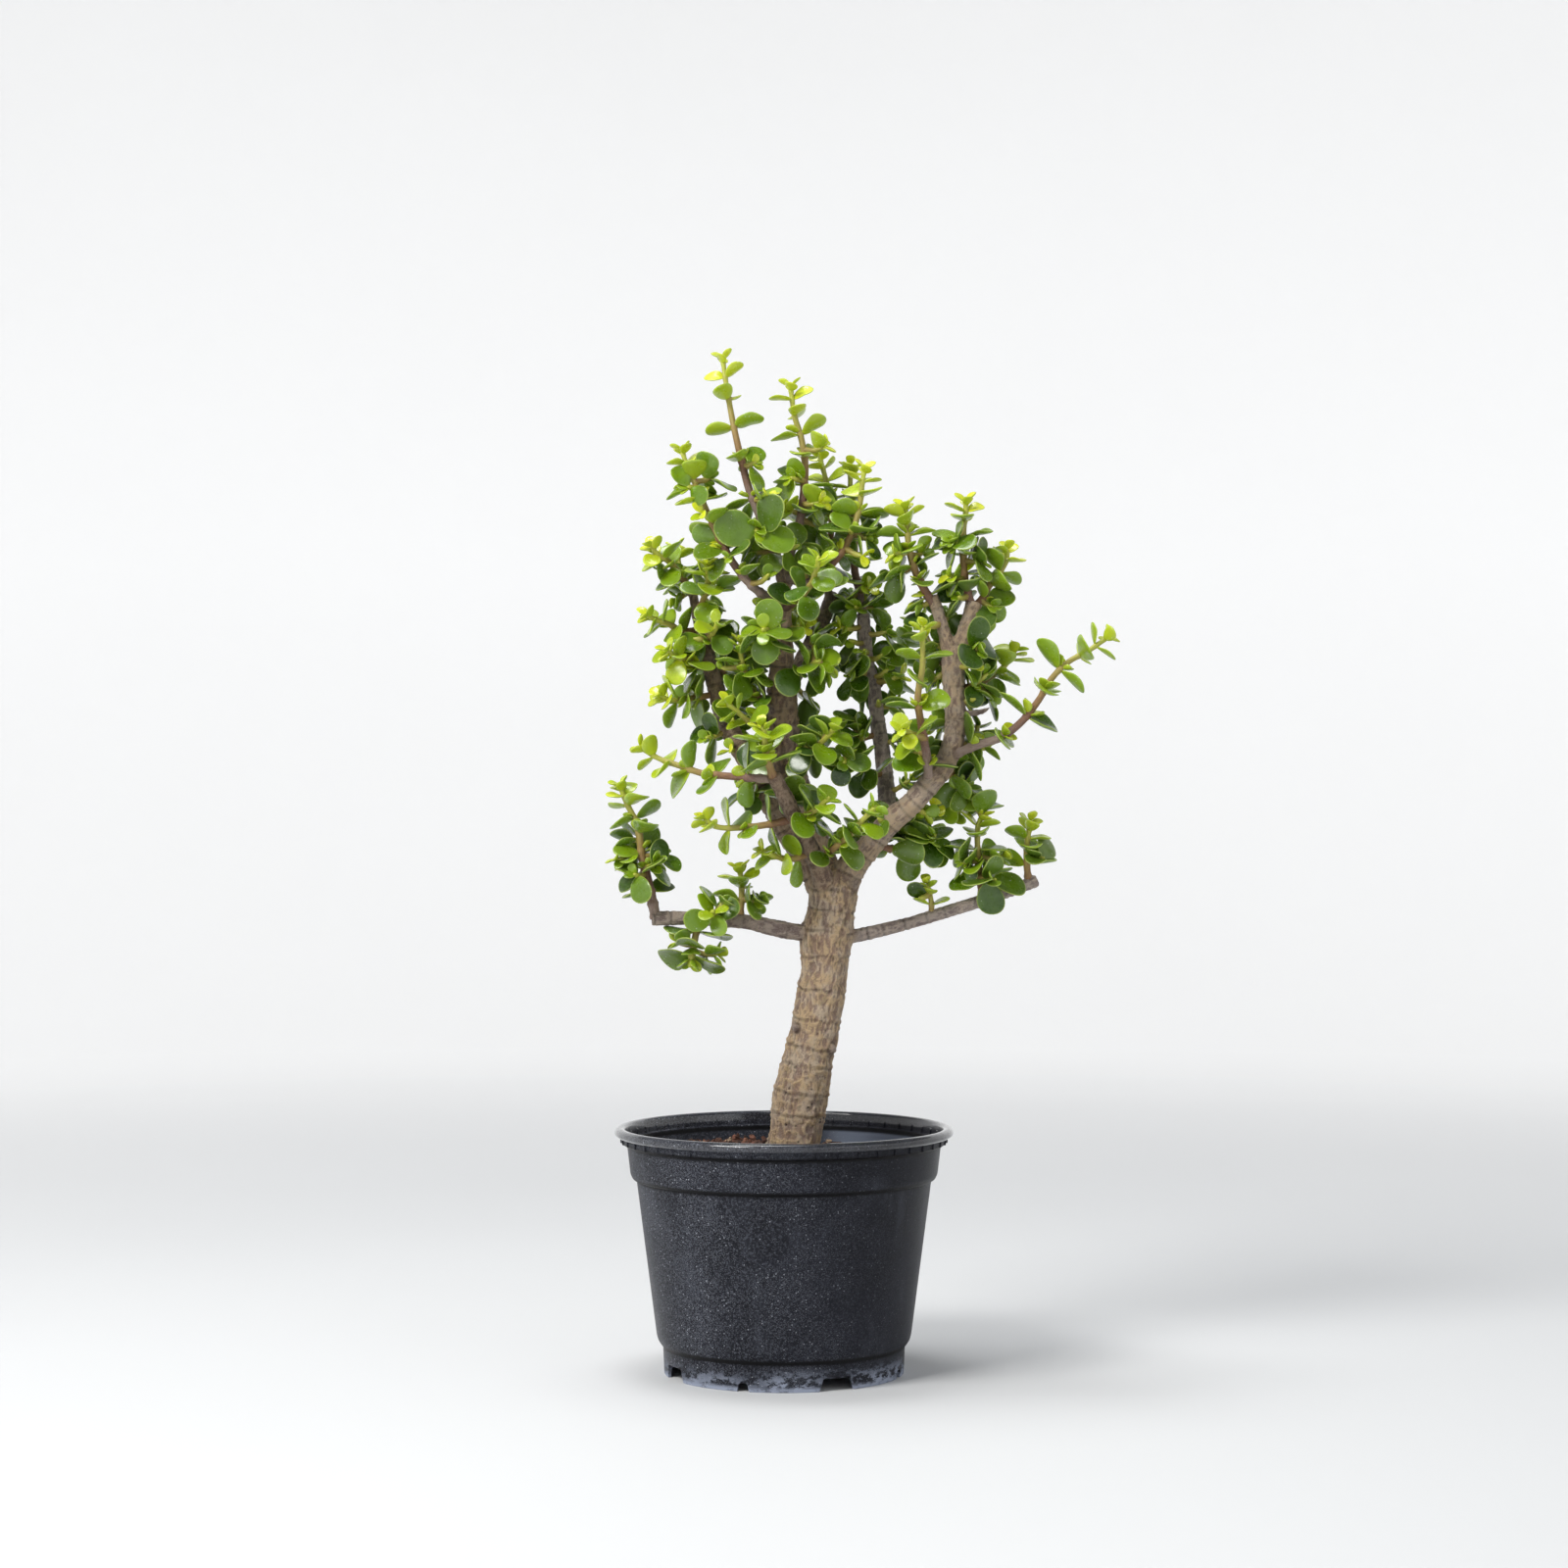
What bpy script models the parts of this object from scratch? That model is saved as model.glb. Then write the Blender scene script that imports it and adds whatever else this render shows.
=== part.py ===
"""A dwarf jade tree in a black nursery pot: pot, mix, trunk, limbs and leafy shoots, each its own solid.

Blender units are metres, +Z up. The origin is the middle of the pot's base, where it meets the table.
X runs to the right and Y to the back. Routes and sizes of the plant are in millimetres and are scaled by MM.
"""

import math
import random
from collections import namedtuple

import bmesh
import bpy
from mathutils import Matrix, Vector
from mathutils.bvhtree import BVHTree

MM = 0.001
GAP = 0.35  # clearance between pieces that meet, mm

# ---------------------------------------------------------------- pot, mm
RIM_RADIUS = 80.0
POT_HEIGHT = 116.0
WALL = 1.2
LATHE_STEPS = 32
FOOT_RADIUS = 56.6
FOOT_HEIGHT = 13.0
BODY_FOOT_RADIUS = 60.2
BODY_TOP_RADIUS = 69.8
BODY_TOP = 91.5
BAND_FOOT_RADIUS = 72.5
BAND_TOP_RADIUS = 74.3
BAND_TOP = 108.0
LEDGE_RADIUS = 76.8
FLOOR_UNDER = 5.0
CENTRE_PAD_RADIUS = 9.5
WIDE_NOTCH = (16.0, 6.5)  # width, height
NARROW_NOTCH = (4.5, 4.0)
NOTCH_TURN = 25.6  # degrees from the front to the first wide notch
DRAIN_HOLE_RADIUS = 5.0
DRAIN_HOLE_FROM_AXIS = 44.0

# ---------------------------------------------------------------- potting mix, mm
SOIL_TOP = 99.5
SOIL_LUMP = 2.4
SOIL_RINGS = (14.0, 28.0, 42.0, 56.0)

# ---------------------------------------------------------------- wood, mm
# Each limb is a list of (x, y, z, radius). A limb starts on the axis of the one that it grows from.
TRUNK = [
    (0, 0, 74, 13.5), (1, 0, 84, 13.0), (2, 0, 97, 12.4), (5, 0, 109, 12.1), (8, 0, 132, 12.3),
    (11, 0, 148, 11.6), (15, 0, 165, 11.2), (19, 0, 188, 10.8), (20, 0, 206, 12.0), (22, 0, 218, 10.7),
    (23, 0, 228, 11.3), (24, 1, 236, 9.0),
]
ROOT_COUNT = 5
ROOT_REACH = 38.0
ROOT_DROP = 42.0

LIMBS = {
    "limb_front": [[
        (21, -4, 226, 5.2), (16, -12, 240, 4.4), (12, -18, 248, 4.1), (5, -28, 262, 3.9), (0, -37, 273, 3.7),
        (-5, -45, 282, 3.4),
    ]],
    "limb_centre": [[
        (21, 5, 232, 7.6), (15, 10, 249, 7.2), (10, 12, 262, 7.0), (6, 13, 275, 7.0), (2, 13, 290, 7.0),
        (0, 12, 306, 7.1), (-1, 10, 322, 6.8), (-1, 8, 333, 5.6), (0, 6, 342, 4.4), (0, 4, 355, 3.7),
        (0, 1, 371, 3.4), (-2, -2, 384, 3.2),
    ]],
    "limb_left": [[
        (18, 1, 228, 6.6), (10, 4, 244, 6.0), (2, 2, 255, 5.6), (-6, 1, 269, 5.2), (-15, 5, 285, 5.0),
        (-25, 10, 302, 4.6), (-30, 13, 315, 4.4), (-35, 15, 333, 3.9), (-39, 17, 350, 3.4),
        (-42, 18, 361, 2.4),
        (-44, 18, 371, 2.0),
    ]],
    "limb_right": [
        [
            (27, 0, 230, 8.0), (32, -2, 239, 7.0), (38, -4, 246, 6.0), (49, -7, 259, 5.6),
            (60, -10, 269, 5.2),
            (70, -11, 280, 5.0), (76, -9, 288, 4.8), (80, -7, 299, 4.8), (81, -5, 310, 4.9),
            (80, -4, 324, 5.0),
            (80, -3, 340, 5.6),
        ],
        [(81, -3, 337, 4.4), (85, -3, 348, 3.9), (88, -2, 357, 3.6), (90, -2, 364, 3.7)],
        [(79, -3, 337, 3.9), (76, -4, 348, 3.2), (73, -4, 358, 2.9), (70, -4, 367, 2.7)],
    ],
    "limb_inner_right": [[
        (49, -5, 260, 4.6), (49, 9, 272, 4.3), (48, 17, 284, 4.0), (47, 20, 294, 3.8), (45, 22, 308, 3.6),
        (43, 24, 325, 3.5), (40, 25, 336, 3.4), (39, 26, 348, 3.2), (38, 27, 360, 3.0),
    ]],
    "limb_back": [[
        (1, 10, 322, 4.4), (7, 22, 334, 4.0), (12, 32, 344, 3.8), (18, 40, 355, 3.5), (22, 45, 366, 3.2),
        (24, 47, 371, 3.1),
    ]],
    "branch_low_left": [[
        (20, 0, 208, 4.3), (7, -3, 208, 3.9), (-4, -6, 210, 3.8), (-17, -9, 213, 3.4), (-30, -11, 214, 3.2),
        (-44, -13, 215, 3.2), (-62, -15, 215, 3.4),
    ]],
    "branch_low_right": [[
        (21, 0, 205, 3.5), (33, 2, 206, 3.2), (52, 5, 210, 3.0), (70, 8, 215, 2.9), (90, 11, 221, 2.8),
        (108, 14, 227, 2.8), (121, 16, 232, 2.9),
    ]],
}

# ---------------------------------------------------------------- leafy shoots
# route: points in mm from the wood that the shoot grows from to its tip; thick: radius at both ends, mm;
# pairs: leaf pairs; leaf: length of a grown leaf, mm; roll: turn of the first pair about the stem, degrees;
# bare: share of the stem before the first pair; tip: whether it still grows, or was cut and ends bare.
Shoot = namedtuple("Shoot", "route thick pairs leaf roll bare tip", defaults=(13.0, 0.0, 0.2, True))
SHOOTS = {
    "shoot_crown_tall": Shoot(
        [(-2, -2, 382), (-6, -8, 392), (-11, -12, 403), (-16, -14, 415), (-20, -12, 430), (-24, -8, 448),
         (-27, -4, 465), (-29, -2, 479)], (1.9, 0.9), 7, 13.5, 90, 0.14),
    "shoot_crown_second": Shoot(
        [(-1, -1, 379), (4, 0, 390), (7, 1, 400), (9, 3, 413), (10, 5, 430), (8, 6, 443), (5, 6, 453),
        (3, 6, 467)],
        (2.0, 0.9), 8, 12.5, 0, 0.16),
    "shoot_arch_left": Shoot(
        [(0, 1, 366), (-9, -7, 367), (-16, -12, 372), (-22, -14, 379), (-27, -15, 387), (-34, -15, 401),
         (-40, -13, 415), (-46, -11, 429), (-48, -10, 435)], (1.9, 0.9), 7, 13.0, 0, 0.3),
    "shoot_centre_arch_right": Shoot(
        [(0, 0, 376), (9, -6, 373), (17, -8, 375), (23, -8, 382), (27, -7, 387), (31, -6, 394),
        (34, -5, 402),
         (36, -4, 411), (37, -4, 420), (38, -4, 427)], (1.8, 0.9), 7, 13.0, 0, 0.3),
    "shoot_right_tall": Shoot(
        [(89, -2, 361), (86, -1, 371), (85, 0, 382), (85, 0, 398), (86, 0, 406), (86, 0, 412)],
        (1.9, 0.9), 7, 12.5, 90, 0.16),
    "shoot_right_inner_tall": Shoot(
        [(71, -4, 362), (66, -6, 370), (62, -7, 378), (59, -8, 388), (58, -8, 400), (57, -8, 409)],
        (1.8, 0.9), 8, 13.0, 0, 0.12),
    "shoot_right_reach": Shoot(
        [(77, -9, 290), (85, -12, 294), (93, -14, 297), (102, -16, 300), (111, -18, 307), (119, -18, 317),
         (125, -18, 327), (133, -16, 335), (142, -14, 340), (148, -12, 344), (152, -11, 347)],
        (1.9, 0.9), 8, 14.5, 90, 0.12),
    "shoot_centre_right_front": Shoot(
        [(68, -11, 278), (67, -20, 289), (64, -29, 304), (62, -34, 318), (64, -36, 332), (64, -37, 345),
         (64, -37, 351)], (1.9, 0.9), 7, 13.5, 0, 0.16),
    "shoot_right_front_rosette": Shoot(
        [(66, -26, 299), (60, -36, 301), (54, -44, 303)], (1.3, 0.9), 3, 13.5, 40, 0.5),
    "shoot_centre_rosette": Shoot([(0, 5, 349), (-5, -12, 349), (-10, -27, 350)], (1.4, 1.0),
    4, 15.0, 0, 0.5),
    "shoot_centre_right_rosette": Shoot(
        [(-1, 9, 330), (8, -4, 332), (17, -17, 336)], (1.4, 1.0), 4, 14.5, 30, 0.5),
    "shoot_left_front_rosette": Shoot(
        [(-42, 18, 360), (-38, 6, 366), (-36, -4, 373), (-36, -9, 381)], (1.4, 0.9), 5, 13.5, 90, 0.4),
    "shoot_left_upper": Shoot(
        [(-44, 18, 369), (-49, 14, 377), (-55, 8, 384), (-60, 5, 387), (-63, 4, 391)], (1.5, 0.9), 5, 12.5,
        0, 0.3),
    "shoot_left_upper_back": Shoot(
        [(-42, 18, 361), (-45, 26, 370), (-50, 30, 382), (-52, 31, 392)], (1.4, 0.9), 5, 12.5, 45, 0.35),
    "shoot_left_high": Shoot(
        [(-40, 17, 352), (-48, 13, 351), (-55, 8, 354), (-61, 5, 356), (-65, 3, 358)], (1.4, 0.9), 5, 13.0,
        45, 0.3),
    "shoot_left_middle": Shoot(
        [(-35, 15, 333), (-41, 9, 334), (-46, 2, 337), (-51, -3, 338), (-55, -6, 341)], (1.4, 0.9), 5,
        13.0, 80, 0.3),
    "shoot_left_lower": Shoot(
        [(-32, 14, 321), (-43, 10, 319), (-51, 7, 318), (-55, 5, 318), (-59, 3, 320)], (1.4, 0.9), 5, 14.0,
        60, 0.3),
    "shoot_left_front_leafy": Shoot(
        [(-38, 17, 346), (-36, 5, 347), (-33, -4, 350), (-31, -9, 355)], (1.4, 0.9), 4, 13.5, 20, 0.45),
    "shoot_inner_left_upright": Shoot(
        [(-1, 10, 318), (-12, 5, 319), (-18, 1, 326), (-20, -2, 336), (-21, -4, 345)], (1.5, 0.9), 6, 12.5,
        0, 0.3),
    "shoot_left_yellow": Shoot(
        [(1, 13, 298), (-8, -3, 302), (-16, -13, 307), (-22, -18, 312), (-27, -20, 316)], (1.4, 0.9), 4,
        12.0, 90, 0.5),
    "shoot_left_mid": Shoot(
        [(-4, -43, 280), (-17, -42, 281), (-30, -40, 282), (-38, -38, 283), (-47, -36, 286), (-56, -34, 289),
         (-62, -33, 292), (-66, -32, 295)], (1.7, 0.9), 6, 13.5, 70, 0.2),
    "shoot_front_upright": Shoot(
        [(-5, -45, 281), (-8, -50, 291), (-9, -53, 300), (-10, -54, 305)], (1.6, 0.9), 5, 14.0, 0, 0.3),
    "shoot_left_reach": Shoot(
        [(5, -28, 262), (-3, -31, 260), (-17, -35, 258), (-30, -38, 258), (-37, -39, 262)], (1.6, 0.9), 5,
        13.5, 70, 0.3),
    "shoot_left_low_fork": Shoot(
        [(13, -17, 246), (4, -22, 243), (-3, -27, 244), (-10, -32, 247)], (1.4, 0.9), 4, 12.5, 60, 0.3),
    "shoot_mid_front": Shoot(
        [(15, -13, 241), (22, -25, 247), (29, -32, 253), (35, -36, 260), (40, -38, 265), (43, -39, 268)],
        (1.5, 0.9), 6, 13.0, 45, 0.25),
    "shoot_mid_small": Shoot(
        [(5, -28, 262), (11, -34, 264), (17, -39, 268), (21, -42, 272)], (1.3, 0.9), 4, 13.0, 60, 0.35),
    "shoot_centre_low_right": Shoot(
        [(2, 13, 290), (10, -4, 292), (16, -13, 296), (21, -20, 301), (24, -22, 305)], (1.5, 0.9), 5, 14.5,
        60, 0.4),
    "shoot_inner_low_left": Shoot(
        [(48, 16, 282), (40, 5, 284), (33, -4, 288), (29, -9, 291)], (1.4, 0.9), 5, 13.0, 30, 0.3),
    "shoot_inner_twig_left": Shoot(
        [(46, 22, 302), (36, 16, 300), (27, 10, 301), (22, 4, 305)], (1.4, 0.9), 4, 12.0, 45, 0.3),
    "shoot_inner_right_top": Shoot(
        [(38, 27, 358), (36, 27, 372), (34, 27, 381), (34, 28, 393), (33, 28, 411), (32, 28, 420),
        (32, 28, 432)],
        (1.8, 0.9), 9, 12.5, 0, 0.08),
    "shoot_crown_third": Shoot(
        [(22, 45, 366), (21, 36, 378), (22, 28, 392), (23, 26, 406), (22, 26, 416), (20, 26, 425),
        (17, 26, 436)],
        (1.7, 0.9), 8, 12.5, 45, 0.12),
    "shoot_front_centre": Shoot(
        [(0, 2, 361), (6, -14, 364), (12, -30, 370), (15, -40, 377), (16, -44, 383)], (1.5, 0.9), 6, 13.5,
        20, 0.3),
    "shoot_right_mid": Shoot(
        [(80, -4, 322), (88, 4, 324), (94, 9, 326), (100, 13, 330), (107, 16, 336), (111, 17, 342)],
        (1.5, 0.9), 6, 13.5, 20, 0.25),
    "shoot_right_fork_out": Shoot(
        [(90, -2, 362), (95, 3, 367), (98, 6, 373), (103, 8, 379), (106, 8, 385), (106, 8, 390)],
        (1.5, 0.9), 5, 13.0, 55, 0.2),
    "shoot_right_low_out": Shoot(
        [(79, -7, 299), (87, 0, 296), (94, 5, 295), (99, 8, 297)], (1.4, 0.9), 4, 13.0, 60, 0.35),
    "shoot_right_low_back": Shoot(
        [(42, -5, 250), (52, 8, 247), (61, 18, 248), (67, 24, 254), (71, 28, 262)], (1.5, 0.9), 5, 15.5,
        20, 0.3),
    "shoot_right_droop_back": Shoot(
        [(73, -10, 284), (79, 2, 282), (83, 11, 276), (84, 16, 268), (83, 18, 262)], (1.5, 0.9), 5, 14.0,
        50, 0.3),
    "shoot_low_left_tall": Shoot(
        [(-60, -15, 215), (-62, -14, 224), (-64, -13, 233), (-67, -11, 245), (-68, -11, 254),
        (-70, -10, 261),
         (-74, -10, 269), (-77, -10, 277)], (2.1, 0.9), 8, 12.5, 30, 0.2),
    "shoot_low_left_mid": Shoot(
        [(-21, -9, 213), (-20, -9, 224), (-20, -8, 232), (-21, -8, 238)], (1.5, 0.9), 4, 13.0, 0, 0.45),
    "shoot_low_left_front": Shoot([(-33, -11, 214), (-33, -19, 216), (-33, -28, 219)], (1.4, 1.0),
    3, 14.5, 20, 0.45),
    "shoot_low_left_hanging": Shoot(
        [(-40, -12, 215), (-42, -15, 204), (-44, -17, 192)], (1.4, 1.3), 3, 15.0, 0, 0.35, False),
    "shoot_low_right_small": Shoot([(70, 8, 215), (70, 7, 222), (68, 6, 231)], (1.2, 0.8), 3, 10.0, 0, 0.45),
    "shoot_low_right_mid": Shoot(
        [(95, 12, 222), (93, 9, 235), (92, 6, 247), (92, 5, 257), (94, 4, 263)], (1.6, 0.9), 6, 13.5, 0,
        0.25),
    "shoot_low_right_end": Shoot(
        [(117, 15, 230), (116, 15, 240), (116, 14, 249), (117, 13, 256), (118, 13, 261)], (1.5, 0.9), 5,
        12.5, 0, 0.35),
    "shoot_back_left": Shoot(
        [(-33, 14, 326), (-28, 32, 334), (-26, 46, 343), (-25, 55, 352)], (1.5, 0.9), 6, 13.5, 0, 0.3),
    "shoot_back_centre": Shoot(
        [(-1, 9, 328), (-6, 28, 336), (-9, 46, 347), (-10, 58, 359)], (1.6, 0.9), 7, 13.5, 45, 0.3),
    "shoot_back_right": Shoot(
        [(43, 24, 324), (52, 40, 332), (58, 54, 342), (61, 62, 352)], (1.6, 0.9), 6, 13.5, 0, 0.25),
    "shoot_back_top": Shoot(
        [(0, 1, 369), (4, 18, 378), (8, 32, 390), (9, 42, 402), (8, 48, 413)], (1.6, 0.9), 7, 13.0, 45,
        0.35),
    "shoot_back_right_limb": Shoot(
        [(80, -4, 330), (74, 14, 338), (69, 28, 348), (66, 36, 359)], (1.5, 0.9), 6, 13.0, 30, 0.3),
}

# ---------------------------------------------------------------- how leaves sit on a shoot
CROWDING = 1.45  # above 1, pairs stand closer together towards the tip
TIP_SIZES = (0.5, 0.74, 0.9)  # of a grown leaf: the last pair, the one before it, and so on
TIP_LEANS = (50.0, 62.0, 68.0)  # degrees between the stem and the leaf
GROWN_LEAN = 72.0
OLD_LEAN = 82.0
LEAF_WIDE = 0.84  # of its length
LEAF_THICK = 0.12
LEAF_DROOP = 0.14  # how far the tip bends down, of its length
LIGHT_SEEKING = 0.5  # how far a blade turns about its own length to face the sky
NODE_HALF = 0.9  # half the height of the joint that a leaf pair grows from, mm
TIP_STUB = 2  # stem left beyond the last pair, mm
LONGEST_BARE = 16.0  # mm of stem between two cross-sections
CORNER = 1.18  # from the stem's radius to the corner of its square cross-section
# Outline of the solid that stands for a leaf: share of its length, share of its half width.
LEAF_OUTLINE = ((0.5, 1.0), (1.0, 0.5))
LEAF_CROWN = 0.5
CLEAR = 0.35  # room kept between leaves, mm
# What a leaf tries in turn when another is in its way: turn about the stem, change of lean, size.
WAYS_ROUND = (
    (0, 0, 1.0), (14, 0, 1.0), (-14, 0, 1.0), (0, 14, 1.0), (0, -14, 1.0), (28, 0, 1.0), (-28, 0, 1.0),
    (14, -16, 0.92), (-14, -16, 0.92), (14, 16, 0.92), (-14, 16, 0.92), (0, -28, 0.9), (0, 26, 0.9),
    (40, 0, 0.86), (-40, 0, 0.86), (0, 0, 0.74), (24, 16, 0.74), (-24, 16, 0.74), (24, -16, 0.74),
    (-24, -16, 0.74),
)
# pair: number of the pair and the side of the stem that the leaf is on.
# rank: 0 for the last pair, 1 for the one before.
Leaf = namedtuple("Leaf", "shoot pair centre radius stem side lean twist length wide rank")


# ================================================================ small tools
def clear_scene():
    for obj in list(bpy.data.objects):
        bpy.data.objects.remove(obj)


def material(name, color, roughness):
    made = bpy.data.materials.new(name)
    made.use_nodes = True
    shader = made.node_tree.nodes["Principled BSDF"]
    shader.inputs["Base Color"].default_value = (*color, 1.0)
    shader.inputs["Roughness"].default_value = roughness
    shader.inputs["Metallic"].default_value = 0.0
    return made


def add_object(name, mesh, finish=None):
    obj = bpy.data.objects.new(name, mesh)
    bpy.context.scene.collection.objects.link(obj)
    if finish:
        mesh.materials.clear()
        mesh.materials.append(finish)
    return obj


def mesh_from(name, points, faces):
    """A mesh from points in millimetres."""
    mesh = bpy.data.meshes.new(name)
    mesh.from_pydata([Vector(p) * MM for p in points], [], faces)
    mesh.validate()
    return mesh


def combine(obj, others, operation):
    """obj joined with, or cut by, the other objects, which are then removed."""
    for other in others:
        step = obj.modifiers.new(operation.lower(), "BOOLEAN")
        step.operation = operation
        step.solver = "EXACT"
        step.object = other
    bpy.context.view_layer.update()
    graph = bpy.context.evaluated_depsgraph_get()
    made = bpy.data.meshes.new_from_object(obj.evaluated_get(graph), depsgraph=graph)
    obj.modifiers.clear()
    obj.data = made
    for other in others:
        bpy.data.objects.remove(other)
    return obj


def joined(name, meshes):
    """Several meshes as one, with no Boolean between them."""
    built = bmesh.new()
    for mesh in meshes:
        built.from_mesh(mesh)
    made = bpy.data.meshes.new(name)
    built.to_mesh(made)
    built.free()
    return made


# ================================================================ routes and tubes
def smooth_route(points, step):
    """Points about step apart on a Catmull-Rom curve through the given ones,
    of any number of values each."""
    ends = [
        [2 * a - b for a, b in zip(points[0], points[1])],
        [2 * a - b for a, b in zip(points[-1], points[-2])],
    ]
    knots = [ends[0], *points, ends[1]]
    made = []
    for k in range(1, len(knots) - 2):
        p0, p1, p2, p3 = knots[k - 1 : k + 3]
        pieces = max(1, round(math.dist(p1[:3], p2[:3]) / step))
        for j in range(pieces):
            t = j / pieces
            made.append([
                0.5 * (
                    2 * b + (c - a) * t + (2 * a - 5 * b + 4 * c - d) * t**2 + (3 * b - a - 3 * c + d) * t**3
                )
                for a, b, c, d in zip(p0, p1, p2, p3)
            ])
    made.append(list(points[-1]))
    return made


def frames_along(line):
    """(centre, tangent, across) for each point of a line, with no twist between neighbours."""
    centres = [Vector(p[:3]) for p in line]
    across = None
    made = []
    for i, centre in enumerate(centres):
        tangent = (centres[min(i + 1, len(centres) - 1)] - centres[max(i - 1, 0)]).normalized()
        if across is None:
            start = Vector((1, 0, 0)) if abs(tangent.x) < 0.8 else Vector((0, 1, 0))
            across = (start - tangent * start.dot(tangent)).normalized()
        else:
            across = (across - tangent * across.dot(tangent)).normalized()
        made.append((centre, tangent, across))
    return made


def tube(name, line, sides, grow=0.0):
    """A closed tube along a line of (x, y, z, radius), made grow thicker and longer at both ends."""
    frames = frames_along(line)
    points, faces = [], []
    for i, (centre, tangent, across) in enumerate(frames):
        if i == 0:
            centre = centre - tangent * grow
        if i == len(frames) - 1:
            centre = centre + tangent * grow
        beside = tangent.cross(across)
        radius = (line[i][3] + grow) / math.cos(math.pi / sides) ** 0.5
        for k in range(sides):
            turn = 2 * math.pi * k / sides
            points.append(centre + radius * (math.cos(turn) * across + math.sin(turn) * beside))
    for i in range(len(frames) - 1):
        for k in range(sides):
            a, b = i * sides + k, i * sides + (k + 1) % sides
            faces.append((a, b, b + sides, a + sides))
    faces.append(tuple(range(sides - 1, -1, -1)))
    last = (len(frames) - 1) * sides
    faces.append(tuple(range(last, last + sides)))
    return mesh_from(name, points, faces)


def stem_line(shoot):
    """A shoot's stem as (x, y, z, radius), a millimetre apart, thinning evenly from its foot to its tip."""
    route = smooth_route(shoot.route, 1.0)
    first, last = shoot.thick
    return [(*p, first + (last - first) * i / (len(route) - 1)) for i, p in enumerate(route)]


def pair_places(shoot, line):
    """Where on a stem's line its leaf pairs sit, from the foot up."""
    last = len(line) - 1 - TIP_STUB
    places = []
    for i in range(shoot.pairs):
        share = i / max(1, shoot.pairs - 1)
        along = shoot.bare + (1 - shoot.bare) * (1 - (1 - share) ** CROWDING)
        place = round(along * last * (1.0 if shoot.tip else 0.85))
        places.append(max(place, places[-1] + 3) if places else place)
    return [min(place, last) for place in places]


def bare_places(start, end):
    """Where between two places on a stem it has another cross-section, so that none is far from the next."""
    pieces = int((end - start) / LONGEST_BARE) + 1
    return [round(start + (end - start) * k / pieces) for k in range(1, pieces)]


def coarse_stem(shoot):
    """The stem's line at the cross-sections of its solid only, as thick as their corners."""
    line = stem_line(shoot)
    places = [0]
    for place in [*pair_places(shoot, line), len(line) - 1]:
        places += [*bare_places(places[-1], place), place]
    return [(*line[at][:3], line[at][3] * CORNER) for at in places]


# ================================================================ leaves
def leaves_of(name, shoot):
    """A shoot's leaves where they would like to grow: opposite pairs, each a quarter turn from the last."""
    rng = random.Random(name)
    line = stem_line(shoot)
    frames = frames_along(line)
    made = []
    for i, at in enumerate(pair_places(shoot, line)):
        centre, stem, across = frames[at]
        rank = shoot.pairs - 1 - i if shoot.tip else len(TIP_SIZES) + 1
        size = TIP_SIZES[rank] if rank < len(TIP_SIZES) else 1.0
        older = min(1.0, max(0.0, (rank - len(TIP_SIZES)) / 3))
        lean = TIP_LEANS[rank] if rank < len(TIP_LEANS) else GROWN_LEAN + (OLD_LEAN - GROWN_LEAN) * older
        for half in (0, 2):
            turn = shoot.roll + 90 * (i + half) + rng.uniform(-14, 14)
            side = Matrix.Rotation(math.radians(turn), 3, stem) @ across
            length = shoot.leaf * size * rng.uniform(0.9, 1.1)
            made.append(Leaf(
                name, (i, (i + half) % 4), centre, line[at][3], stem, side, lean + rng.uniform(-10, 10),
                rng.uniform(-20, 20), length, length * LEAF_WIDE * rng.uniform(0.86, 1.08), rank,
            ))
    return made


def leaf_axes(leaf):
    """Unit vectors along the leaf, across it, and out of its upper face, which turns part way to the sky."""
    lean = math.radians(leaf.lean)
    along = leaf.stem * math.cos(lean) + leaf.side * math.sin(lean)
    up = leaf.stem * math.sin(lean) - leaf.side * math.cos(lean)
    sky = Vector((0, 0, 1)) - along * along.z
    if sky.length > 0.3:
        turn = math.atan2(along.dot(up.cross(sky)), up.dot(sky))
        if abs(turn) < math.radians(135):
            up = Matrix.Rotation(turn * LIGHT_SEEKING, 3, along) @ up
    up = Matrix.Rotation(math.radians(leaf.twist), 3, along) @ up
    return along, up.cross(along), up


def leaf_points(leaf, clear=0.0):
    """A leaf's outline (left side out, then right side back), its upper crown and its lower crown."""
    along, across, up = leaf_axes(leaf)
    base = leaf.centre + leaf.side * leaf.radius

    def at(share, half, height):
        point = base + along * share * (leaf.length + clear) - up * LEAF_DROOP * share**2 * leaf.length
        return point + across * half + up * height

    reach = [(share, half * leaf.wide / 2 + clear) for share, half in LEAF_OUTLINE]
    left = [at(share, -half, 0) for share, half in reach]
    right = [at(share, half, 0) for share, half in reversed(reach)]
    thick = leaf.length * LEAF_THICK / 2 + clear
    return left + right, at(LEAF_CROWN, 0, thick), at(LEAF_CROWN, 0, -thick)


def leaf_room(leaf, foot):
    """(middle, tree) of a leaf with room round it, that starts at the share of its length given by foot."""
    outline, top, bottom = leaf_points(leaf, CLEAR)
    foot = leaf.centre + leaf.side * (leaf.radius + foot * leaf.length)
    points = [*outline, foot, top, bottom]
    ring = len(outline) + 1
    faces = []
    for a in range(ring):
        b = (a + 1) % ring
        faces += [(a, b, ring), (b, a, ring + 1)]
    return sum(points, Vector()) / len(points), BVHTree.FromPolygons(points, faces)


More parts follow.
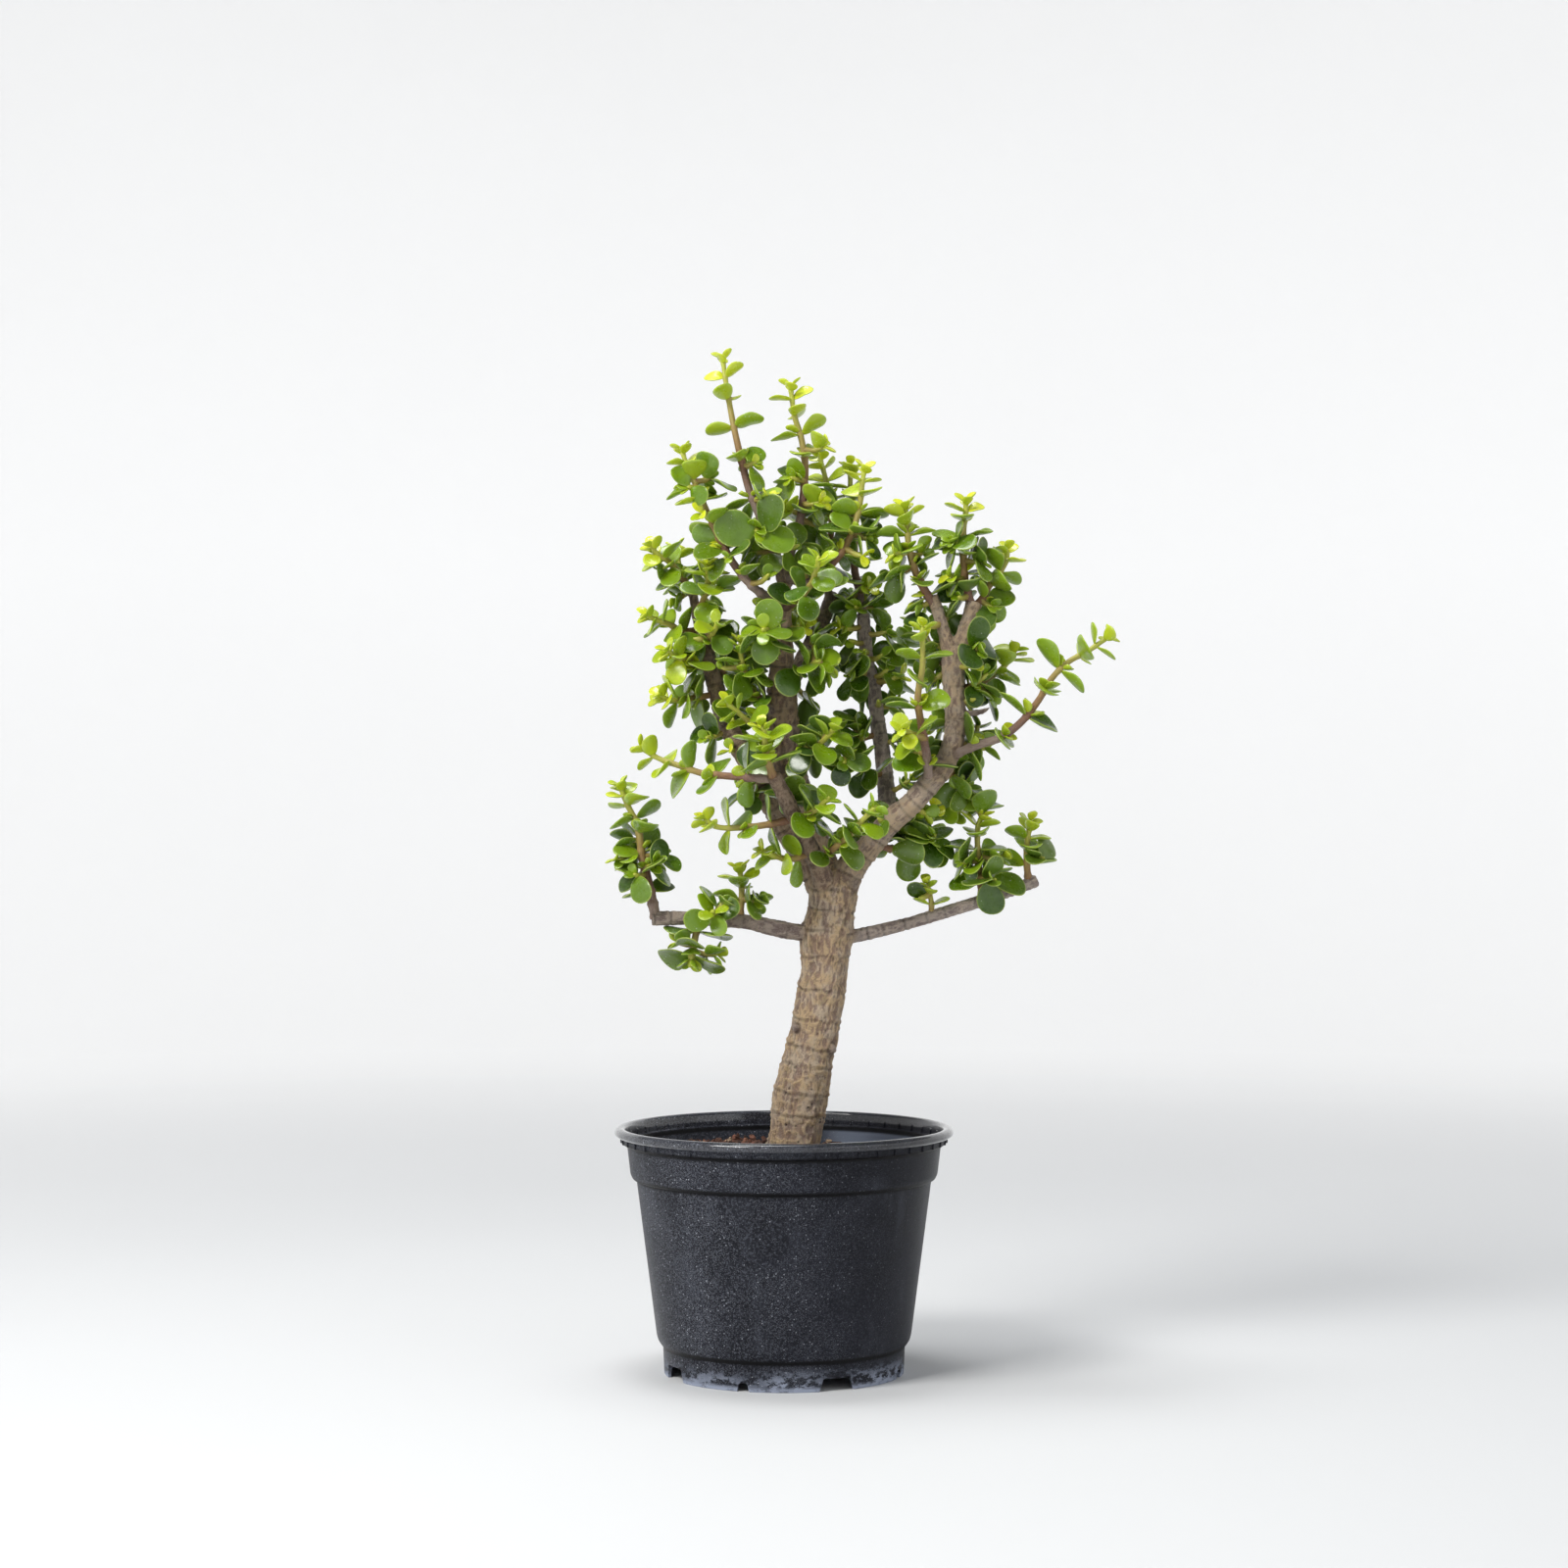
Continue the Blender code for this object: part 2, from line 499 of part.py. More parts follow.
def settled_leaves(wood_trees):
    """Every shoot's leaves, each turned, tilted or made smaller until it clears the others,
    or else left out.

    wood_trees holds a BVH tree for each limb and stem, under its name."""
    placed = []
    for name, shoot in SHOOTS.items():
        for leaf in leaves_of(name, shoot):
            for turn, tilt, size in WAYS_ROUND:
                side = Matrix.Rotation(math.radians(turn), 3, leaf.stem) @ leaf.side
                tried = leaf._replace(
                    side=side, lean=leaf.lean + tilt, length=leaf.length * size, wide=leaf.wide * size,
                )
                middle, tree = leaf_room(tried, 0.25)
                _, whole = leaf_room(tried, 0.0)
                near = [other for other in placed if (other[1] - middle).length < other[2] + tried.length]
                if any(
                    tree.overlap(other[3]) if other[0] == name else whole.overlap(other[4]) for other in near
                ):
                    continue
                if any(whole.overlap(other) for key, other in wood_trees.items() if key != name):
                    continue
                placed.append((name, middle, tried.length, tree, whole))
                yield tried
                break


def shoot_mesh(name, shoot, leaves):
    """A stem of square cross-section with its leaves drawn out of its sides, as one closed mesh."""
    line = stem_line(shoot)
    frames = frames_along(line)
    points, faces = [], []

    def ring(at, shift=0.0):
        centre, tangent, across = frames[at]
        for k in range(4):
            turn = Matrix.Rotation(math.radians(shoot.roll + 45 + 90 * k), 3, tangent)
            points.append(centre + tangent * shift + turn @ across * line[at][3] * CORNER)
        return len(points) - 4

    def side(low, high, k):
        n = (k + 1) % 4
        return [low + k, low + n, high + n, high + k]

    def draw_out(leaf, corners):
        """corners: lower left, lower right, upper right, upper left, seen from outside."""
        low_a, low_b, high_b, high_a = corners
        outline, top, bottom = leaf_points(leaf)
        first = len(points)
        points.extend([*outline, top, bottom])
        around = list(range(first, first + len(outline)))
        top, bottom = first + len(outline), first + len(outline) + 1
        if (points[low_a] - points[around[0]]).length > (points[low_b] - points[around[0]]).length:
            around.reverse()
        upper = [high_a, *around, high_b]
        lower = [low_a, *around, low_b]
        for a, b in zip(upper, upper[1:] + upper[:1]):
            faces.append((a, b, top))
        for a, b in zip(lower, lower[1:] + lower[:1]):
            faces.append((b, a, bottom))
        faces.append((low_a, around[0], high_a))
        faces.append((low_b, high_b, around[-1]))

    held = {leaf.pair: leaf for leaf in leaves}
    last = ring(0)
    faces.append((last + 3, last + 2, last + 1, last))
    reached = 0
    for i, at in enumerate(pair_places(shoot, line)):
        for place in bare_places(reached, at):
            middle = ring(place)
            faces += [side(last, middle, k) for k in range(4)]
            last = middle
        low, high = ring(at, -NODE_HALF), ring(at, NODE_HALF)
        for k in range(4):
            faces.append(side(last, low, k))
            # Side k of the stem faces a quarter turn beyond corner k.
            leaf = held.get((i, (k + 1) % 4))
            if leaf:
                draw_out(leaf, side(low, high, k))
            else:
                faces.append(side(low, high, k))
        last, reached = high, at
    end = ring(len(line) - 1)
    faces += [side(last, end, k) for k in range(4)]
    faces.append((end, end + 1, end + 2, end + 3))
    return mesh_from(name, points, faces)


# ================================================================ pot and potting mix
def pot_profile():
    """(outside, inside) of the pot's wall from its foot to its rim, as (radius, height)."""
    outside = [
        (FOOT_RADIUS, 0.0), (FOOT_RADIUS + 0.5, FOOT_HEIGHT), (BODY_FOOT_RADIUS - 0.4, FOOT_HEIGHT + 3.4),
        (BODY_FOOT_RADIUS, FOOT_HEIGHT + 4.6), (BODY_TOP_RADIUS, BODY_TOP),
        (BAND_FOOT_RADIUS, BODY_TOP + 2.0),
        (BAND_TOP_RADIUS, BAND_TOP), (LEDGE_RADIUS, BAND_TOP + 0.8), (LEDGE_RADIUS, BAND_TOP + 3.2),
        (RIM_RADIUS - 0.8, BAND_TOP + 3.8), (RIM_RADIUS, BAND_TOP + 5.6),
        (RIM_RADIUS - 1.0, POT_HEIGHT - 0.6),
    ]
    inside = [
        (RIM_RADIUS - 3.0, POT_HEIGHT), (RIM_RADIUS - 5.2, POT_HEIGHT - 0.9),
        (BAND_TOP_RADIUS - WALL, BAND_TOP + 1.4),
        (BAND_FOOT_RADIUS - WALL, BODY_TOP + 3.0), (BODY_TOP_RADIUS - WALL, BODY_TOP + 0.6),
        (BODY_FOOT_RADIUS - WALL, FOOT_HEIGHT + 5.0), (FOOT_RADIUS + 0.5 - WALL, FOOT_HEIGHT + 0.8),
        (FOOT_RADIUS - WALL, FLOOR_UNDER + WALL),
    ]
    return outside, inside


def lathe(name, profile):
    """A solid turned about Z from (radius, height) points that start and end on the axis."""
    built = bmesh.new()
    verts = [built.verts.new(Vector((r, 0, z)) * MM) for r, z in profile]
    edges = [built.edges.new(pair) for pair in zip(verts, verts[1:])]
    bmesh.ops.spin(
        built, geom=verts + edges, cent=(0, 0, 0), axis=(0, 0, 1), angle=2 * math.pi, steps=LATHE_STEPS,
        use_merge=True,
    )
    bmesh.ops.remove_doubles(built, verts=built.verts, dist=1e-6)
    bmesh.ops.recalc_face_normals(built, faces=built.faces)
    mesh = bpy.data.meshes.new(name)
    built.to_mesh(mesh)
    built.free()
    return mesh


def box_cutter(name, size, centre, turn):
    built = bmesh.new()
    bmesh.ops.create_cube(built, size=1.0)
    bmesh.ops.scale(built, vec=Vector(size) * MM, verts=built.verts)
    bmesh.ops.translate(built, vec=Vector(centre) * MM, verts=built.verts)
    bmesh.ops.rotate(built, matrix=Matrix.Rotation(math.radians(turn), 3, "Z"), verts=built.verts)
    mesh = bpy.data.meshes.new(name)
    built.to_mesh(mesh)
    built.free()
    return add_object(name, mesh)


def make_pot(finish):
    outside, inside = pot_profile()
    underneath = [
        (0.0, 0.0), (CENTRE_PAD_RADIUS, 0.0), (CENTRE_PAD_RADIUS + 0.5, FLOOR_UNDER),
        (FOOT_RADIUS - WALL - 0.1, FLOOR_UNDER), (FOOT_RADIUS - WALL - 0.1, 0.0),
    ]
    profile = [*underneath, *outside, *inside, (0.0, FLOOR_UNDER + WALL)]
    pot = add_object("pot", lathe("pot", profile), finish)
    cutters = []
    for k in range(4):
        turn = NOTCH_TURN + 90 * k - 90
        for (width, height), extra in ((WIDE_NOTCH, 0), (NARROW_NOTCH, 45)):
            low = -1.0
            cutters.append(box_cutter(
                "notch", (6.0, width, height - low), (FOOT_RADIUS, 0, (height + low) / 2), turn + extra,
            ))
        spun = Matrix.Rotation(math.radians(turn), 3, "Z")
        line = [
            (*(spun @ Vector((DRAIN_HOLE_FROM_AXIS, 0, z))), DRAIN_HOLE_RADIUS)
            for z in (FLOOR_UNDER - 2, FLOOR_UNDER + WALL + 2)
        ]
        cutters.append(add_object("drain", tube("drain", line, 8)))
    combine(pot, cutters, "DIFFERENCE")
    return pot


def make_soil(finish, buried):
    """Potting mix that fills the pot to under its rim, with a lumpy top, cut to fit round the roots."""
    rng = random.Random("soil")
    inside = pot_profile()[1]
    wall = [(r - GAP, z + (GAP if z < SOIL_TOP / 2 else 0)) for r, z in reversed(inside) if z < SOIL_TOP]
    wall.append((wall[-1][0] + 0.45, SOIL_TOP))
    built = bmesh.new()
    rings = [[(r, z) for r, z in wall], [(r, SOIL_TOP) for r in reversed(SOIL_RINGS)]]
    floor = FLOOR_UNDER + WALL + GAP
    foot = built.verts.new(Vector((0, 0, floor)) * MM)
    peak = built.verts.new(Vector((0, 0, SOIL_TOP)) * MM)
    columns = []
    for k in range(LATHE_STEPS):
        turn = 2 * math.pi * k / LATHE_STEPS
        column = []
        for r, z in rings[0] + rings[1]:
            lump = rng.uniform(-SOIL_LUMP, SOIL_LUMP) if z == SOIL_TOP else 0.0
            column.append(built.verts.new(Vector((r * math.cos(turn), r * math.sin(turn), z + lump)) * MM))
        columns.append(column)
    for a, b in zip(columns, columns[1:] + columns[:1]):
        built.faces.new((foot, b[0], a[0]))
        built.faces.new((a[-1], b[-1], peak))
        for (a0, a1), (b0, b1) in zip(zip(a, a[1:]), zip(b, b[1:])):
            built.faces.new((a0, b0, b1, a1))
    bmesh.ops.recalc_face_normals(built, faces=built.faces)
    mesh = bpy.data.meshes.new("soil")
    built.to_mesh(mesh)
    built.free()
    soil = add_object("potting_mix", mesh, finish)
    return combine(soil, buried, "DIFFERENCE")


# ================================================================ wood
def root_lines():
    """Main roots, spreading and dropping from the trunk's foot."""
    lines = []
    for k in range(ROOT_COUNT):
        turn = 2 * math.pi * (k + 0.3) / ROOT_COUNT
        reach = ROOT_REACH * (0.85 + 0.3 * (k % 2))
        out = Vector((math.cos(turn), math.sin(turn), 0))
        points = [(0, 0, 82, 5.0)]
        for share, drop in ((0.35, 0.12), (0.7, 0.5), (1.0, 1.0)):
            at = out * reach * share
            points.append((at.x, at.y, 80 - ROOT_DROP * drop, 5.0 - 3.4 * share))
        lines.append(smooth_route(points, 16.0))
    return lines


def make_trunk(finish):
    line = smooth_route(TRUNK, 12.0)
    trunk = add_object("trunk", tube("trunk", line, 12), finish)
    roots = [add_object("root", tube("root", points, 6)) for points in root_lines()]
    combine(trunk, roots, "UNION")
    trunk.data.materials.clear()
    trunk.data.materials.append(finish)
    return trunk


def grown_wood(name, lines, sides):
    """Solids a gap larger than a piece of wood, for cutting what meets it."""
    return [add_object(name + "_room", tube(name, line, sides, GAP)) for line in lines]


def tree_of(mesh):
    points = [v.co / MM for v in mesh.vertices]
    return BVHTree.FromPolygons(points, [tuple(p.vertices) for p in mesh.polygons])


def touching(name, lines, others, sides):
    """Room to cut from a piece of wood for each of the others that it touches. others holds named lines."""
    trees = [tree_of(tube(name, line, sides)) for line in lines]
    made = []
    for other, other_lines in others.items():
        for line in other_lines:
            around = 12 if other == "trunk" else 8
            if any(tree.overlap(tree_of(tube(other, line, around, GAP))) for tree in trees):
                made.append(add_object(other + "_room", tube(other, line, around, GAP)))
    return made


def keep_largest(obj):
    """Removes whatever a cut left loose."""
    built = bmesh.new()
    built.from_mesh(obj.data)
    left = set(built.verts)
    bodies = []
    while left:
        body, edge = set(), [left.pop()]
        while edge:
            vert = edge.pop()
            body.add(vert)
            joined_to = {e.other_vert(vert) for e in vert.link_edges} & left
            left -= joined_to
            edge += joined_to
        bodies.append(body)
    bodies.sort(key=len)
    bmesh.ops.delete(built, geom=[vert for body in bodies[:-1] for vert in body], context="VERTS")
    built.to_mesh(obj.data)
    built.free()


def finish_piece(obj, finish):
    keep_largest(obj)
    obj.data.materials.clear()
    obj.data.materials.append(finish)


def make_wood(finish):
    """The trunk and the limbs, each cut back from those before it. Returns their lines under their names."""
    lines = {"trunk": [smooth_route(TRUNK, 12.0)]}
    make_trunk(finish)
    for name, parts in LIMBS.items():
        limb_lines = [smooth_route(part, 12.0) for part in parts]
        limb, *forks = [add_object(name, tube(name, line, 8)) for line in limb_lines]
        if forks:
            combine(limb, forks, "UNION")
        combine(limb, touching(name, limb_lines, lines, 8), "DIFFERENCE")
        finish_piece(limb, finish)
        lines[name] = limb_lines
    return lines


def make_shoots(wood_lines, finish):
    """Every leafy shoot, cut to fit the wood that it grows from."""
    stems = {name: coarse_stem(shoot) for name, shoot in SHOOTS.items()}
    trees = {name: tree_of(tube(name, line, 8, GAP)) for name, line in stems.items()}
    for name, lines in wood_lines.items():
        for i, line in enumerate(lines):
            trees[f"{name}_{i}"] = tree_of(tube(name, line, 8, GAP))
    by_shoot = {name: [] for name in SHOOTS}
    for leaf in settled_leaves(trees):
        by_shoot[leaf.shoot].append(leaf)
    made_lines = dict(wood_lines)
    for name, shoot in SHOOTS.items():
        made = add_object(name, shoot_mesh(name, shoot, by_shoot[name]))
        combine(made, touching(name, [stems[name]], made_lines, 8), "DIFFERENCE")
        finish_piece(made, finish)
        made_lines[name] = [stems[name]]


# ================================================================ the whole plant
def main():
    clear_scene()
    plastic = material("pot_plastic", (0.018, 0.019, 0.023), 0.45)
    mix = material("potting_mix", (0.045, 0.026, 0.017), 0.95)
    bark = material("bark", (0.22, 0.14, 0.095), 0.8)
    leaf = material("leaf", (0.1, 0.26, 0.025), 0.35)
    make_pot(plastic)
    wood_lines = make_wood(bark)
    buried = grown_wood("trunk", [*wood_lines["trunk"]], 12) + grown_wood("root", root_lines(), 6)
    make_soil(mix, buried)
    make_shoots(wood_lines, leaf)


main()
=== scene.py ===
"""A dwarf jade tree in a black nursery pot: moulded pot, loose potting mix, fissured wood and fleshy paired leaves.

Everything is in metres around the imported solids, +Z up, with the middle of the pot's base at the origin. Routes and
sizes of the plant are in millimetres and are scaled by MM where a mesh is made."""

import math
import random
from collections import namedtuple

import bmesh
import bpy
import numpy as np
from bpy.props import FloatProperty, FloatVectorProperty, IntProperty, PointerProperty
from bpy.types import Operator, Panel, PropertyGroup
from mathutils import Matrix, Vector
from mathutils.bvhtree import BVHTree


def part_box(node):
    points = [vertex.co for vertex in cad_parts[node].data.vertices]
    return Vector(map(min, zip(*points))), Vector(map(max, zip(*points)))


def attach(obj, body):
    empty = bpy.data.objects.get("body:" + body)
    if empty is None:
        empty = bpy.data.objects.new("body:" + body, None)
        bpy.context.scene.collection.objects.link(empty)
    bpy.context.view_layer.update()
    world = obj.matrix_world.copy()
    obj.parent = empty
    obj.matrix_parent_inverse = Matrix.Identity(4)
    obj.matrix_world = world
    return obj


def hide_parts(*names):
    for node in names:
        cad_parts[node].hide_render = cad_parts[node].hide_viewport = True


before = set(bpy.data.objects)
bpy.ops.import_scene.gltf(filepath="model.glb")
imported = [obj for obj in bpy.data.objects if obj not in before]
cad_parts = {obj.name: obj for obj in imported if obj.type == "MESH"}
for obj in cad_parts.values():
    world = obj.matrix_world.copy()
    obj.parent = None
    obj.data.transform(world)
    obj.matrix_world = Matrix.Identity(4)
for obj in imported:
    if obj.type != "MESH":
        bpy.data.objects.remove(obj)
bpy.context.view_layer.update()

bl_info = {
    "name": "Potted dwarf jade",
    "version": (1, 0, 0),
    "blender": (4, 5, 0),
    "location": "3D Viewport > Sidebar > Potted jade",
    "description": "Builds a dwarf jade tree in a nursery pot around its solids",
    "category": "Add Mesh",
}

POT_LOW, POT_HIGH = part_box("pot")
MIX_LOW, MIX_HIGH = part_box("potting_mix")
MM = 0.001


# ================================================================ sizes that a maker may change
class PottedJadePot(PropertyGroup):
    facets: IntProperty(name="Facets", description="Steps around the pot", default=224, min=48, max=512)
    drip_ribs: IntProperty(name="Rim ribs", description="Thin ribs under the rolled rim", default=48, min=0, max=96)
    plastic: FloatVectorProperty(
        name="Plastic", description="Colour of the moulded plastic", subtype="COLOR", size=3,
        default=(0.007, 0.0075, 0.011), min=0, max=1,
    )


class PottedJadeMix(PropertyGroup):
    crumbs: IntProperty(name="Crumbs", description="Loose crumbs on the potting mix", default=1900, min=0, max=5000)
    crumb_size: FloatProperty(
        name="Crumb size", description="Mean width of a crumb", default=0.0016, unit="LENGTH", min=0.0005, max=0.01,
    )


class PottedJadeWood(PropertyGroup):
    grid: FloatProperty(
        name="Grid", description="Spacing of the points of the bark", default=0.00078, unit="LENGTH",
        min=0.0004, max=0.003,
    )
    fissures: FloatProperty(
        name="Fissures", description="Depth of the fissures on the trunk", default=0.00062, unit="LENGTH",
        min=0, max=0.003,
    )
    rings: FloatProperty(
        name="Ring scars", description="Depth of the ring scars on the trunk", default=0.0008, unit="LENGTH",
        min=0, max=0.003,
    )


class PottedJadeLeaves(PropertyGroup):
    fullness: FloatProperty(
        name="Fullness", description="Length of the drawn leaf over that of its solid", default=1.08, min=0.5, max=1.5,
    )
    tuft_density: FloatProperty(
        name="Tufts", description="Share of the leaf tufts along the limbs that are kept", default=1.0, min=0, max=1,
    )


class PottedJadeStage(PropertyGroup):
    floor: FloatVectorProperty(
        name="Floor", description="Colour of the floor and its coved wall", subtype="COLOR", size=3,
        default=(0.66, 0.67, 0.68), min=0, max=1,
    )
    key: FloatProperty(name="Key light", description="Power of the key light", default=32.0, unit="POWER", min=0)


# ================================================================ the plant's routes
# ---------------------------------------------------------------- wood, mm
# Each limb is a list of (x, y, z, radius). A limb starts on the axis of the one that it grows from.
TRUNK = [
    (0, 0, 74, 13.5), (1, 0, 84, 13.0), (2, 0, 97, 12.4), (5, 0, 109, 12.1), (8, 0, 132, 12.3),
    (11, 0, 148, 11.6), (15, 0, 165, 11.2), (19, 0, 188, 10.8), (20, 0, 206, 12.0), (22, 0, 218, 10.7),
    (23, 0, 228, 11.3), (24, 1, 236, 9.0),
]
ROOT_COUNT = 5
ROOT_REACH = 38.0
ROOT_DROP = 42.0

LIMBS = {
    "limb_front": [[
        (21, -4, 226, 5.2), (16, -12, 240, 4.4), (12, -18, 248, 4.1), (5, -28, 262, 3.9), (0, -37, 273, 3.7),
        (-5, -45, 282, 3.4),
    ]],
    "limb_centre": [[
        (21, 5, 232, 7.6), (15, 10, 249, 7.2), (10, 12, 262, 7.0), (6, 13, 275, 7.0), (2, 13, 290, 7.0),
        (0, 12, 306, 7.1), (-1, 10, 322, 6.8), (-1, 8, 333, 5.6), (0, 6, 342, 4.4), (0, 4, 355, 3.7),
        (0, 1, 371, 3.4), (-2, -2, 384, 3.2),
    ]],
    "limb_left": [[
        (18, 1, 228, 6.6), (10, 4, 244, 6.0), (2, 2, 255, 5.6), (-6, 1, 269, 5.2), (-15, 5, 285, 5.0),
        (-25, 10, 302, 4.6), (-30, 13, 315, 4.4), (-35, 15, 333, 3.9), (-39, 17, 350, 3.4), (-42, 18, 361, 2.4),
        (-44, 18, 371, 2.0),
    ]],
    "limb_right": [
        [
            (27, 0, 230, 8.0), (32, -2, 239, 7.0), (38, -4, 246, 6.0), (49, -7, 259, 5.6), (60, -10, 269, 5.2),
            (70, -11, 280, 5.0), (76, -9, 288, 4.8), (80, -7, 299, 4.8), (81, -5, 310, 4.9), (80, -4, 324, 5.0),
            (80, -3, 340, 5.6),
        ],
        [(81, -3, 337, 4.4), (85, -3, 348, 3.9), (88, -2, 357, 3.6), (90, -2, 364, 3.7)],
        [(79, -3, 337, 3.9), (76, -4, 348, 3.2), (73, -4, 358, 2.9), (70, -4, 367, 2.7)],
    ],
    "limb_inner_right": [[
        (49, -5, 260, 4.6), (49, 9, 272, 4.3), (48, 17, 284, 4.0), (47, 20, 294, 3.8), (45, 22, 308, 3.6),
        (43, 24, 325, 3.5), (40, 25, 336, 3.4), (39, 26, 348, 3.2), (38, 27, 360, 3.0),
    ]],
    "limb_back": [[
        (1, 10, 322, 4.4), (7, 22, 334, 4.0), (12, 32, 344, 3.8), (18, 40, 355, 3.5), (22, 45, 366, 3.2),
        (24, 47, 371, 3.1),
    ]],
    "branch_low_left": [[
        (20, 0, 208, 4.3), (7, -3, 208, 3.9), (-4, -6, 210, 3.8), (-17, -9, 213, 3.4), (-30, -11, 214, 3.2),
        (-44, -13, 215, 3.2), (-62, -15, 215, 3.4),
    ]],
    "branch_low_right": [[
        (21, 0, 205, 3.5), (33, 2, 206, 3.2), (52, 5, 210, 3.0), (70, 8, 215, 2.9), (90, 11, 221, 2.8),
        (108, 14, 227, 2.8), (121, 16, 232, 2.9),
    ]],
}

